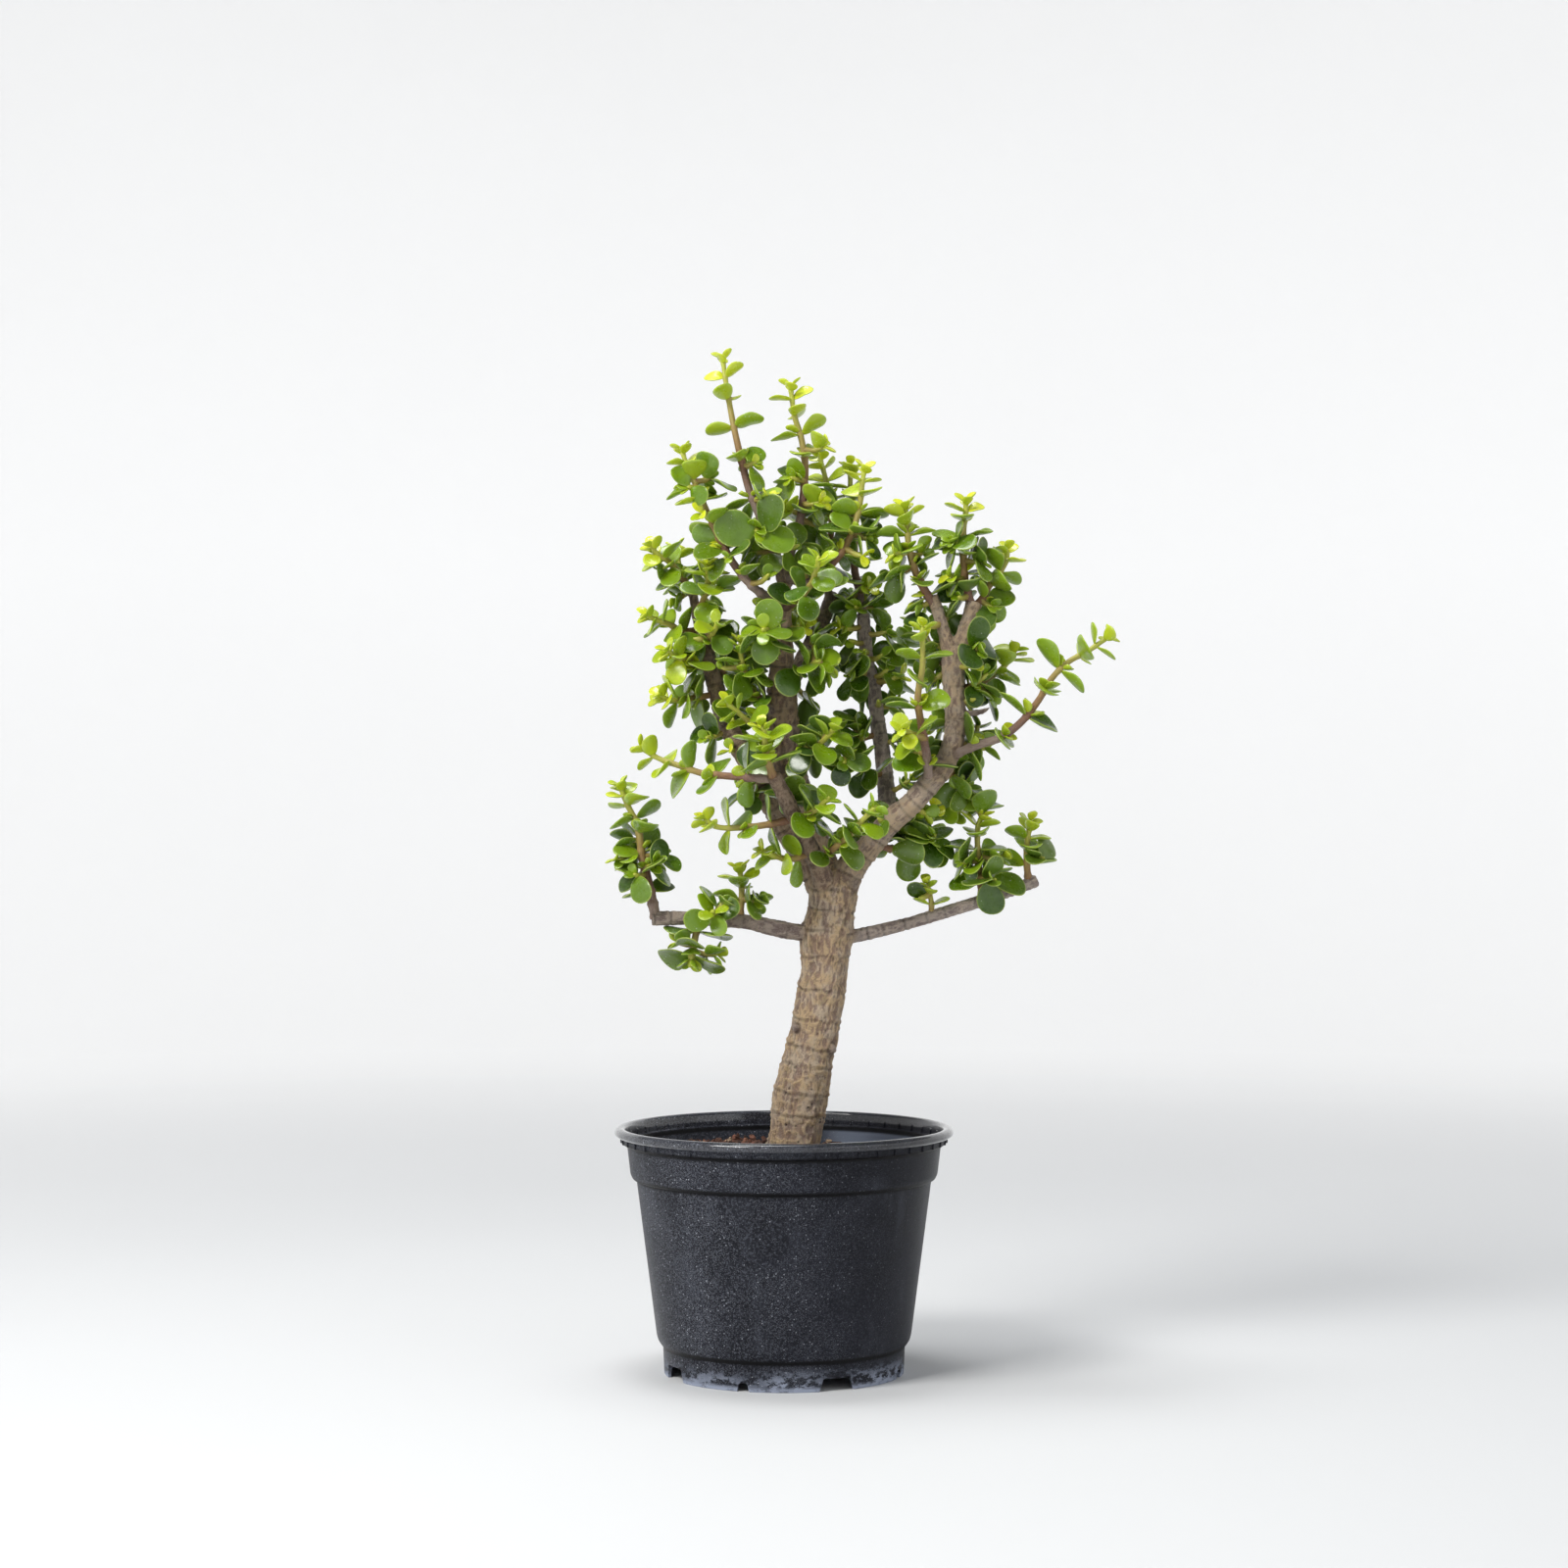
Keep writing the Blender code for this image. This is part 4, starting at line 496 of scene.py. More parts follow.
def leaves_of(name, shoot):
    """The leaves of a shoot where they would like to grow: opposite pairs, each a quarter turn from the last."""
    rng = random.Random(name)
    line = stem_line(shoot)
    frames = frames_along(line)
    made = []
    for i, at in enumerate(pair_places(shoot, line)):
        centre, stem, across = frames[at]
        rank = shoot.pairs - 1 - i if shoot.tip else len(TIP_SIZES) + 1
        size = TIP_SIZES[rank] if rank < len(TIP_SIZES) else 1.0
        older = min(1.0, max(0.0, (rank - len(TIP_SIZES)) / 3))
        lean = TIP_LEANS[rank] if rank < len(TIP_LEANS) else GROWN_LEAN + (OLD_LEAN - GROWN_LEAN) * older
        for half in (0, 2):
            turn = shoot.roll + 90 * (i + half) + rng.uniform(-14, 14)
            side = Matrix.Rotation(math.radians(turn), 3, stem) @ across
            length = shoot.leaf * size * rng.uniform(0.9, 1.1)
            made.append(Leaf(
                name, (i, (i + half) % 4), centre, line[at][3], stem, side, lean + rng.uniform(-10, 10),
                rng.uniform(-20, 20), length, length * LEAF_WIDE * rng.uniform(0.86, 1.08), rank,
            ))
    return made


def leaf_axes(leaf):
    """Unit vectors along the leaf, across it, and out of its upper face, which turns part way to the sky."""
    lean = math.radians(leaf.lean)
    along = leaf.stem * math.cos(lean) + leaf.side * math.sin(lean)
    up = leaf.stem * math.sin(lean) - leaf.side * math.cos(lean)
    sky = Vector((0, 0, 1)) - along * along.z
    if sky.length > 0.3:
        turn = math.atan2(along.dot(up.cross(sky)), up.dot(sky))
        if abs(turn) < math.radians(135):
            up = Matrix.Rotation(turn * LIGHT_SEEKING, 3, along) @ up
    up = Matrix.Rotation(math.radians(leaf.twist), 3, along) @ up
    return along, up.cross(along), up


def leaf_points(leaf, clear=0.0):
    """A leaf's outline (left side out, then right side back), its upper crown and its lower crown."""
    along, across, up = leaf_axes(leaf)
    base = leaf.centre + leaf.side * leaf.radius

    def at(share, half, height):
        point = base + along * share * (leaf.length + clear) - up * LEAF_DROOP * share**2 * leaf.length
        return point + across * half + up * height

    reach = [(share, half * leaf.wide / 2 + clear) for share, half in LEAF_OUTLINE]
    left = [at(share, -half, 0) for share, half in reach]
    right = [at(share, half, 0) for share, half in reversed(reach)]
    thick = leaf.length * LEAF_THICK / 2 + clear
    return left + right, at(LEAF_CROWN, 0, thick), at(LEAF_CROWN, 0, -thick)


def leaf_room(leaf, foot):
    """(middle, tree) of a leaf with room round it, from the share of its length where foot says that it starts."""
    outline, top, bottom = leaf_points(leaf, CLEAR)
    foot = leaf.centre + leaf.side * (leaf.radius + foot * leaf.length)
    points = [*outline, foot, top, bottom]
    ring = len(outline) + 1
    faces = []
    for a in range(ring):
        b = (a + 1) % ring
        faces += [(a, b, ring), (b, a, ring + 1)]
    return sum(points, Vector()) / len(points), BVHTree.FromPolygons(points, faces)


def settled_leaves(shoots, wood_trees):
    """Every shoot's leaves, each turned, tilted or made smaller until it is clear of the others, or else left out.

    wood_trees holds a BVH tree for each limb and stem, under its name."""
    placed = []
    for name, shoot in shoots.items():
        for leaf in leaves_of(name, shoot):
            for turn, tilt, size in WAYS_ROUND:
                side = Matrix.Rotation(math.radians(turn), 3, leaf.stem) @ leaf.side
                tried = leaf._replace(
                    side=side, lean=leaf.lean + tilt, length=leaf.length * size, wide=leaf.wide * size,
                )
                middle, tree = leaf_room(tried, 0.25)
                _, whole = leaf_room(tried, 0.0)
                near = [other for other in placed if (other[1] - middle).length < other[2] + tried.length]
                if any(tree.overlap(other[3]) if other[0] == name else whole.overlap(other[4]) for other in near):
                    continue
                if any(whole.overlap(other) for key, other in wood_trees.items() if key != name):
                    continue
                placed.append((name, middle, tried.length, tree, whole))
                yield tried
                break


def root_lines():
    """Main roots, spreading and dropping from the trunk's foot."""
    lines = []
    for k in range(ROOT_COUNT):
        turn = 2 * math.pi * (k + 0.3) / ROOT_COUNT
        reach = ROOT_REACH * (0.85 + 0.3 * (k % 2))
        out = Vector((math.cos(turn), math.sin(turn), 0))
        points = [(0, 0, 82, 5.0)]
        for share, drop in ((0.35, 0.12), (0.7, 0.5), (1.0, 1.0)):
            at = out * reach * share
            points.append((at.x, at.y, 80 - ROOT_DROP * drop, 5.0 - 3.4 * share))
        lines.append(smooth_route(points, 16.0))
    return lines


# ================================================================ mesh tools
def new_object(name, mesh, materials):
    obj = bpy.data.objects.new(name, mesh)
    bpy.context.scene.collection.objects.link(obj)
    for finish in materials:
        mesh.materials.append(finish)
    return obj


def keep_with_pot(obj, nodes):
    """Hangs the piece on the root body and hides the solids that it stands in for."""
    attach(obj, "root")
    if nodes:
        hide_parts(*nodes)
    return obj


def mesh_of(name, points, faces, smooth=True):
    """A mesh from points in millimetres."""
    mesh = bpy.data.meshes.new(name)
    mesh.from_pydata((np.asarray(points) * MM).tolist(), [], faces)
    if smooth:
        mesh.shade_smooth()
    return mesh


def set_values(mesh, name, values):
    """One number for each point, for a material to read."""
    attribute = mesh.attributes.new(name, "FLOAT", "POINT")
    attribute.data.foreach_set("value", np.asarray(values, np.float32))


def set_vectors(mesh, name, vectors):
    attribute = mesh.attributes.new(name, "FLOAT_VECTOR", "POINT")
    attribute.data.foreach_set("vector", np.asarray(vectors, np.float32).ravel())


def points_of(mesh):
    """The mesh's points in millimetres."""
    points = np.empty(len(mesh.vertices) * 3, np.float32)
    mesh.vertices.foreach_get("co", points)
    return points.reshape(-1, 3) / MM


def normals_of(mesh):
    normals = np.empty(len(mesh.vertices) * 3, np.float32)
    mesh.vertices.foreach_get("normal", normals)
    return normals.reshape(-1, 3)


def outward(mesh):
    """Turns every face of a closed mesh outwards."""
    built = bmesh.new()
    built.from_mesh(mesh)
    bmesh.ops.recalc_face_normals(built, faces=built.faces)
    built.to_mesh(mesh)
    built.free()


def applied(obj):
    """The object with its modifiers made part of its mesh."""
    graph = bpy.context.evaluated_depsgraph_get()
    made = bpy.data.meshes.new_from_object(obj.evaluated_get(graph), depsgraph=graph)
    obj.modifiers.clear()
    obj.data = made
    return obj


def hashed(cells, seed):
    """A number from 0 to 1 for each whole-numbered cell."""
    mixed = cells[..., 0] * 73856093 ^ cells[..., 1] * 19349663 ^ cells[..., 2] * 83492791 ^ seed * 2654435761
    mixed = (mixed ^ (mixed >> 13)) * 1274126177 & 0x7FFFFFFF
    return ((mixed ^ (mixed >> 16)) & 0xFFFF) / 65535.0


def noise_at(points, size, seed=1, octaves=3):
    """Soft noise from -1 to 1 at points, with features about size across."""
    total, weight, scale = 0.0, 0.0, 1.0
    for octave in range(octaves):
        at = np.asarray(points, np.float64) / size * 2**octave
        cell = np.floor(at).astype(np.int64)
        part = at - cell
        part = part * part * (3 - 2 * part)
        value = 0.0
        for corner in range(8):
            step = np.array([corner & 1, corner >> 1 & 1, corner >> 2 & 1])
            share = np.prod(np.where(step, part, 1 - part), axis=-1)
            value = value + share * hashed(cell + step, seed + octave)
        total = total + (value * 2 - 1) * scale
        weight += scale
        scale *= 0.5
    return total / weight


def bump_of(distance, width):
    return np.exp(-((distance / width) ** 2))


# ================================================================ shader tools
def finish_of(name):
    """(material, its tree, its Principled shader)."""
    made = bpy.data.materials.new(name)
    made.use_nodes = True
    return made, made.node_tree, made.node_tree.nodes["Principled BSDF"]


def put(tree, kind, inputs=(), **settings):
    """A node with its settings and inputs. An input is a value, or the output of another node."""
    made = tree.nodes.new(kind)
    for key, value in settings.items():
        setattr(made, key, value)
    for key, value in dict(inputs).items():
        if isinstance(value, bpy.types.NodeSocket):
            tree.links.new(value, made.inputs[key])
        else:
            made.inputs[key].default_value = value
    return made


def maths(tree, operation, a, b=0.5, c=0.5):
    return put(tree, "ShaderNodeMath", {0: a, 1: b, 2: c}, operation=operation).outputs[0]


def scaled(tree, value, low, high, to_low=0.0, to_high=1.0):
    """value taken from one range to another and held to it, with soft ends."""
    return put(
        tree, "ShaderNodeMapRange",
        {"Value": value, "From Min": low, "From Max": high, "To Min": to_low, "To Max": to_high},
        interpolation_type="SMOOTHSTEP",
    ).outputs["Result"]


def blended(tree, factor, a, b, way="MIX"):
    """Colour a, or b where factor is 1."""
    mix = put(tree, "ShaderNodeMix", {0: factor}, data_type="RGBA", blend_type=way)
    for index, value in ((6, a), (7, b)):
        if isinstance(value, bpy.types.NodeSocket):
            tree.links.new(value, mix.inputs[index])
        else:
            mix.inputs[index].default_value = (*value, 1.0)
    return mix.outputs[2]


def ramp(tree, value, stops):
    """A colour for value, from (place, colour) stops."""
    node = put(tree, "ShaderNodeValToRGB", {0: value})
    elements = node.color_ramp.elements
    while len(elements) < len(stops):
        elements.new(0.5)
    for element, (place, color) in zip(elements, stops):
        element.position = place
        element.color = (*color, 1.0)
    return node.outputs["Color"]


def attribute(tree, name, output="Fac"):
    return put(tree, "ShaderNodeAttribute", attribute_name=name).outputs[output]


def noise(tree, where, scale, detail=4.0, roughness=0.55, output="Fac"):
    inputs = {"Vector": where, "Scale": scale, "Detail": detail, "Roughness": roughness}
    return put(tree, "ShaderNodeTexNoise", inputs).outputs[output]


def in_place(tree):
    return put(tree, "ShaderNodeTexCoord").outputs["Object"]


def group_of(name, inputs, outputs):
    """A new node group with its sockets, and the nodes at its two ends."""
    made = bpy.data.node_groups.new(name, "ShaderNodeTree")
    for label, kind, default in inputs:
        socket = made.interface.new_socket(label, in_out="INPUT", socket_type=kind)
        if default is not None:
            socket.default_value = default
    for label, kind in outputs:
        made.interface.new_socket(label, in_out="OUTPUT", socket_type=kind)
    return made, made.nodes.new("NodeGroupInput"), made.nodes.new("NodeGroupOutput")


def specks_group():
    """Pale grains of dust, denser in patches: a mask."""
    if "dust_specks" in bpy.data.node_groups:
        return bpy.data.node_groups["dust_specks"]
    tree, into, out = group_of(
        "dust_specks",
        [("Place", "NodeSocketVector", None), ("Grains", "NodeSocketFloat", 900.0), ("Amount", "NodeSocketFloat", 0.1)],
        [("Mask", "NodeSocketFloat")],
    )
    cells = put(tree, "ShaderNodeTexVoronoi", {"Vector": into.outputs["Place"], "Scale": into.outputs["Grains"]})
    chance = put(tree, "ShaderNodeSeparateColor", {0: cells.outputs["Color"]}).outputs[0]
    patches = noise(tree, into.outputs["Place"], 34.0, 3.0)
    share = maths(tree, "MULTIPLY", into.outputs["Amount"], scaled(tree, patches, 0.3, 0.75, 0.25, 2.2))
    chosen = maths(tree, "LESS_THAN", chance, share)
    dot = scaled(tree, cells.outputs["Distance"], 0.22, 0.42, 1.0, 0.0)
    tree.links.new(maths(tree, "MULTIPLY", chosen, dot), out.inputs["Mask"])
    return tree


def grain_group():
    """Fine unevenness of a surface: a value from 0 to 1."""
    if "fine_grain" in bpy.data.node_groups:
        return bpy.data.node_groups["fine_grain"]
    tree, into, out = group_of(
        "fine_grain",
        [("Place", "NodeSocketVector", None), ("Scale", "NodeSocketFloat", 400.0), ("Soft", "NodeSocketFloat", 0.5)],
        [("Height", "NodeSocketFloat")],
    )
    fine = noise(tree, into.outputs["Place"], into.outputs["Scale"], 3.0, 0.6)
    broad_scale = maths(tree, "MULTIPLY", into.outputs["Scale"], 0.14)
    broad = noise(tree, into.outputs["Place"], broad_scale, 3.0, 0.5)
    mixed = put(tree, "ShaderNodeMix", {0: into.outputs["Soft"], 2: fine, 3: broad}, data_type="FLOAT").outputs[0]
    tree.links.new(mixed, out.inputs["Height"])
    return tree


def grouped(tree, group, inputs, output):
    node = put(tree, "ShaderNodeGroup", node_tree=group)
    for key, value in inputs.items():
        if isinstance(value, bpy.types.NodeSocket):
            tree.links.new(value, node.inputs[key])
        else:
            node.inputs[key].default_value = value
    return node.outputs[output]


def bumped(tree, shader, height, strength, distance):
    bump = put(tree, "ShaderNodeBump", {"Height": height, "Strength": strength, "Distance": distance})
    tree.links.new(bump.outputs["Normal"], shader.inputs["Normal"])


# ================================================================ finishes
def plastic_finish(color):
    """Charcoal plastic: satin, with dust in patches that fades from left to right as painted light, a painted
    reflection on the inner wall of the headspace, painted shade in the steps and scuffs along the foot.
    """
    made, tree, shader = finish_of("pot_plastic")
    place = in_place(tree)
    height = put(tree, "ShaderNodeSeparateXYZ", {0: place}).outputs["Z"]
    clouds = noise(tree, place, 16.0, 5.0)
    smears = noise(tree, put(tree, "ShaderNodeMapping", {"Vector": place, "Scale": (1, 1, 0.4)}).outputs[0], 70.0, 6.0)
    base = blended(tree, scaled(tree, clouds, 0.36, 0.68), color, [c * 1.7 for c in color])
    base = blended(tree, scaled(tree, smears, 0.5, 0.8, 0, 0.35), base, (0.06, 0.066, 0.085))
    specks = grouped(tree, specks_group(), {"Place": place, "Grains": 1100.0, "Amount": 0.045}, "Mask")
    fine = grouped(tree, specks_group(), {"Place": place, "Grains": 2700.0, "Amount": 0.3}, "Mask")
    dust = maths(tree, "MAXIMUM", specks, maths(tree, "MULTIPLY", fine, 0.7))
    # painted light: the dust and the haze are multiplied by a fade along x, strong on the left (-x) and faint on the
    # right (+x), so the pot's left reads lighter and its right darker as if lit from the left; the specks and the haze
    # themselves are real dust
    side = scaled(tree, put(tree, "ShaderNodeSeparateXYZ", {0: place}).outputs["X"], -0.05, 0.065, 1.0, 0.12)
    dust = maths(tree, "MULTIPLY", dust, side)
    base = blended(tree, maths(tree, "MULTIPLY", dust, 0.9), base, (0.36, 0.38, 0.43))
    haze_and_side_light = noise(tree, place, 900.0, 4.0, 0.8)
    haze_and_side_light = maths(tree, "MULTIPLY", scaled(tree, haze_and_side_light, 0.46, 0.64, 0.0, 0.6), side)
    base = blended(tree, haze_and_side_light, base, (0.09, 0.097, 0.12))
    # painted reflection: a pale blue-grey patch on the inner wall of the headspace above the mix, stronger towards +x,
    # stands in for light reflected there
    spot = put(tree, "ShaderNodeSeparateXYZ", {0: place})
    inner = maths(tree, "MULTIPLY", scaled(tree, height, 0.099, 0.1, 0.0, 1.0), scaled(tree, height, 0.107, 0.1085, 1.0, 0.0))
    level = put(tree, "ShaderNodeMapping", {"Vector": place, "Scale": (1, 1, 0)}).outputs[0]
    away = put(tree, "ShaderNodeVectorMath", {0: level}, operation="LENGTH").outputs["Value"]
    within = maths(tree, "SUBTRACT", away, maths(tree, "MULTIPLY", height, 0.115))
    inner = maths(tree, "MULTIPLY", inner, scaled(tree, within, 0.0608, 0.0613, 1.0, 0.0))
    inner = maths(tree, "MULTIPLY", inner, scaled(tree, spot.outputs["X"], 0.014, 0.03, 0.06, 0.75))
    base = blended(tree, inner, base, (0.2, 0.235, 0.31))
    # painted shade: a near-black line along each concave step of the pot's outside, where shade falls
    for step in (0.0135, 0.0918, 0.1079):
        near = maths(tree, "ABSOLUTE", maths(tree, "SUBTRACT", height, step))
        base = blended(tree, scaled(tree, near, 0.0004, 0.0019, 0.95, 0.0), base, (0.002, 0.002, 0.0025))
    worn = noise(tree, put(tree, "ShaderNodeMapping", {"Vector": place, "Scale": (1, 1, 1.8)}).outputs[0], 130.0, 7.0, 0.72)
    reach = noise(tree, place, 30.0, 3.0)
    edge = scaled(tree, height, 0.001, 0.012, 1.0, 0.0)
    edge = maths(tree, "MULTIPLY", edge, scaled(tree, reach, 0.33, 0.58, 0.3, 1.0))
    scuffs = maths(tree, "MULTIPLY", edge, scaled(tree, worn, 0.46, 0.55))
    lowest = maths(tree, "MULTIPLY", scaled(tree, height, 0.0006, 0.0034, 1.0, 0.0), scaled(tree, worn, 0.3, 0.5))
    scuffs = maths(tree, "MAXIMUM", scuffs, lowest)
    base = blended(tree, maths(tree, "MULTIPLY", scuffs, 0.85), base, (0.33, 0.37, 0.47))
    tree.links.new(base, shader.inputs["Base Color"])
    rough = scaled(tree, clouds, 0.3, 0.75, 0.34, 0.5)
    lip = scaled(tree, height, 0.1112, 0.1122)
    rough = maths(tree, "SUBTRACT", rough, maths(tree, "MULTIPLY", lip, 0.1))
    tree.links.new(lip, shader.inputs["Coat Weight"])
    shader.inputs["Coat Roughness"].default_value = 0.09
    shader.inputs["Specular IOR Level"].default_value = 0.12
    rough = maths(tree, "ADD", rough, maths(tree, "MULTIPLY", maths(tree, "MAXIMUM", scuffs, dust), 0.25))
    tree.links.new(rough, shader.inputs["Roughness"])
    shader.inputs["IOR"].default_value = 1.49
    grain = grouped(tree, grain_group(), {"Place": place, "Scale": 1300.0, "Soft": 0.3}, "Height")
    height_of_all = maths(tree, "ADD", grain, maths(tree, "MULTIPLY", scuffs, 0.9))
    bumped(tree, shader, height_of_all, 0.4, 0.0003)
    return made


def mix_finish():
    """Potting mix: dark peat, with crumbs of reddish bark and a few pale grains."""
    made, tree, shader = finish_of("potting_mix")
    place = in_place(tree)
    tint = attribute(tree, "tint")
    base = ramp(tree, tint, [
        (0.0, (0.018, 0.01, 0.007)), (0.35, (0.07, 0.03, 0.019)), (0.62, (0.17, 0.068, 0.042)),
        (0.86, (0.29, 0.135, 0.085)), (1.0, (0.42, 0.3, 0.2)),
    ])
    patches = noise(tree, place, 420.0, 5.0, 0.65)
    base = blended(tree, scaled(tree, patches, 0.35, 0.7, 0.0, 0.7), base, (0.02, 0.011, 0.008))
    tree.links.new(base, shader.inputs["Base Color"])
    shader.inputs["Roughness"].default_value = 0.93
    grain = grouped(tree, grain_group(), {"Place": place, "Scale": 1300.0, "Soft": 0.3}, "Height")
    tree.links.new(scaled(tree, grain, 0.3, 0.7, 0.82, 1.0), shader.inputs["Roughness"])
    bumped(tree, shader, grain, 0.9, 0.0006)
    return made


def bark_finish():
    """Bark: tan wrinkles over pinkish grey on the trunk, smoother and greyer on young wood, dark in rings and pits."""
    made, tree, shader = finish_of("bark")
    grown = attribute(tree, "grown", "Vector")
    young = attribute(tree, "young")
    grey = attribute(tree, "grey")
    crease = attribute(tree, "crease")
    wrinkle = attribute(tree, "wrinkle")
    cut = attribute(tree, "cut")
    stretched = put(tree, "ShaderNodeMapping", {"Vector": grown, "Scale": (1.0, 1.0, 0.5)}).outputs[0]
    mottle = noise(tree, grown, 0.13, 5.0, 0.6)
    fine = noise(tree, stretched, 2.3, 5.0, 0.72)
    ridges = maths(tree, "ADD", maths(tree, "MULTIPLY", fine, 0.72), maths(tree, "MULTIPLY", wrinkle, 0.34))
    ridges = maths(tree, "ADD", maths(tree, "MULTIPLY", maths(tree, "SUBTRACT", ridges, 0.5), 1.35), 0.58)
    old = ramp(tree, ridges, [
        (0.2, (0.22, 0.13, 0.095)), (0.34, (0.42, 0.275, 0.2)), (0.5, (0.55, 0.375, 0.25)),
        (0.68, (0.78, 0.57, 0.33)),
    ])
    pale = ramp(tree, ridges, [(0.22, (0.25, 0.17, 0.145)), (0.42, (0.46, 0.335, 0.275)), (0.66, (0.76, 0.62, 0.47))])
    old = blended(tree, scaled(tree, mottle, 0.42, 0.62, 0.0, 0.75), old, pale)
    brown = ramp(tree, ridges, [(0.22, (0.08, 0.044, 0.03)), (0.45, (0.21, 0.125, 0.082)), (0.7, (0.42, 0.28, 0.18))])
    silver = ramp(tree, ridges, [(0.22, (0.19, 0.145, 0.14)), (0.42, (0.42, 0.34, 0.32)), (0.68, (0.7, 0.61, 0.56))])
    twig = blended(tree, grey, brown, silver)
    base = blended(tree, young, old, twig)
    base = blended(tree, maths(tree, "MULTIPLY", crease, 0.72), base, (0.04, 0.022, 0.014))
    pits = put(tree, "ShaderNodeTexVoronoi", {"Vector": grown, "Scale": 0.3, "Randomness": 1.0}).outputs["Distance"]
    low_down = scaled(tree, put(tree, "ShaderNodeSeparateXYZ", {0: in_place(tree)}).outputs["Z"], 0.105, 0.185, 1.0, 0.1)
    pits = maths(tree, "MULTIPLY", scaled(tree, pits, 0.12, 0.27, 1.0, 0.0), scaled(tree, mottle, 0.46, 0.55))
    pits = maths(tree, "MULTIPLY", pits, low_down)
    base = blended(tree, maths(tree, "MULTIPLY", pits, 0.9), base, (0.014, 0.009, 0.007))
    rings = put(tree, "ShaderNodeTexWave", {"Vector": grown, "Scale": 0.6, "Distortion": 3.0, "Detail": 3.0})
    sawn = blended(tree, rings.outputs["Fac"], (0.2, 0.14, 0.1), (0.37, 0.28, 0.2))
    base = blended(tree, cut, base, sawn)
    tree.links.new(base, shader.inputs["Base Color"])
    tree.links.new(scaled(tree, fine, 0.3, 0.7, 0.5, 0.78), shader.inputs["Roughness"])
    relief = maths(tree, "ADD", ridges, maths(tree, "MULTIPLY", fine, 0.6))
    relief = maths(tree, "SUBTRACT", relief, maths(tree, "MULTIPLY", pits, 0.7))
    bumped(tree, shader, relief, 1.0, 0.002)
    return made


def stem_finish():
    """Young stems: yellow-green at the tip, then orange-brown, purple-brown, and grey where old."""
    made, tree, shader = finish_of("stem_skin")
    age = attribute(tree, "age")
    grown = attribute(tree, "grown", "Vector")
    streaks = noise(tree, put(tree, "ShaderNodeMapping", {"Vector": grown, "Scale": (1, 1, 0.2)}).outputs[0], 1.6, 4.0)
    shifted = maths(tree, "ADD", age, maths(tree, "MULTIPLY", maths(tree, "SUBTRACT", streaks, 0.5), 0.45))
    base = ramp(tree, shifted, [
        (0.0, (0.42, 0.47, 0.05)), (0.25, (0.34, 0.3, 0.06)), (0.5, (0.27, 0.17, 0.055)), (0.7, (0.18, 0.085, 0.045)),
        (0.87, (0.16, 0.095, 0.07)), (1.0, (0.25, 0.185, 0.145)),
    ])
    flakes = noise(tree, grown, 1.1, 5.0, 0.7)
    flaked = maths(tree, "MULTIPLY", scaled(tree, flakes, 0.52, 0.68), scaled(tree, age, 0.45, 1.0, 0.0, 0.55))
    base = blended(tree, flaked, base, (0.31, 0.25, 0.22))
    tree.links.new(base, shader.inputs["Base Color"])
    tree.links.new(scaled(tree, age, 0.0, 0.8, 0.4, 0.72), shader.inputs["Roughness"])
    bumped(tree, shader, maths(tree, "ADD", streaks, flakes), 0.5, 0.0003)
    return made


def leaf_finish():
    """Waxy leaf skin: yellow-green when young, deep green when old, with a pale margin and a faint bloom."""
    made, tree, shader = finish_of("leaf_skin")
    age = attribute(tree, "age")
    tint = attribute(tree, "tint")
    rim = attribute(tree, "rim")
    along = attribute(tree, "along")
    under = attribute(tree, "under")
    place = in_place(tree)
    patches = noise(tree, place, 190.0, 3.0)
    shifted = maths(tree, "ADD", age, maths(tree, "MULTIPLY", maths(tree, "SUBTRACT", patches, 0.5), 0.22))
    shifted = maths(tree, "SUBTRACT", shifted, maths(tree, "MULTIPLY", scaled(tree, along, 0.45, 0.0), 0.12))
    base = ramp(tree, shifted, [
        (0.0, (0.62, 0.66, 0.025)), (0.2, (0.44, 0.54, 0.016)), (0.42, (0.22, 0.34, 0.008)),
        (0.66, (0.1, 0.195, 0.005)), (0.85, (0.043, 0.1, 0.004)), (1.0, (0.02, 0.055, 0.004)),
    ])
    base = blended(tree, scaled(tree, tint, 0.0, 1.0, 0.0, 0.3), base, (0.23, 0.34, 0.008))
    base = blended(tree, maths(tree, "MULTIPLY", under, 0.3), base, (0.2, 0.33, 0.04))
    margin = maths(tree, "MULTIPLY", scaled(tree, rim, 0.9, 1.0), scaled(tree, age, 0.2, 0.9, 0.25, 0.6))
    base = blended(tree, margin, base, (0.42, 0.5, 0.09))
    bloom = grouped(tree, grain_group(), {"Place": place, "Scale": 700.0, "Soft": 0.6}, "Height")
    bloom_share = maths(tree, "MULTIPLY", scaled(tree, bloom, 0.48, 0.68), scaled(tree, age, 0.3, 1.0, 0.02, 0.13))
    base = blended(tree, bloom_share, base, (0.33, 0.43, 0.2))
    dust = grouped(tree, specks_group(), {"Place": place, "Grains": 1100.0, "Amount": 0.05}, "Mask")
    base = blended(tree, maths(tree, "MULTIPLY", dust, 0.4), base, (0.6, 0.64, 0.55))
    tree.links.new(base, shader.inputs["Base Color"])
    rough = scaled(tree, bloom, 0.35, 0.7, 0.24, 0.42)
    tree.links.new(rough, shader.inputs["Roughness"])
    shader.inputs["Subsurface Weight"].default_value = 0.12
    shader.inputs["Subsurface Radius"].default_value = (0.6, 1.0, 0.12)
    shader.inputs["Subsurface Scale"].default_value = 0.0022
    shader.inputs["Coat Weight"].default_value = 0.3
    shader.inputs["Specular IOR Level"].default_value = 0.42
    shader.inputs["Coat Roughness"].default_value = 0.16
    bumped(tree, shader, bloom, 0.22, 0.00035)
    return made


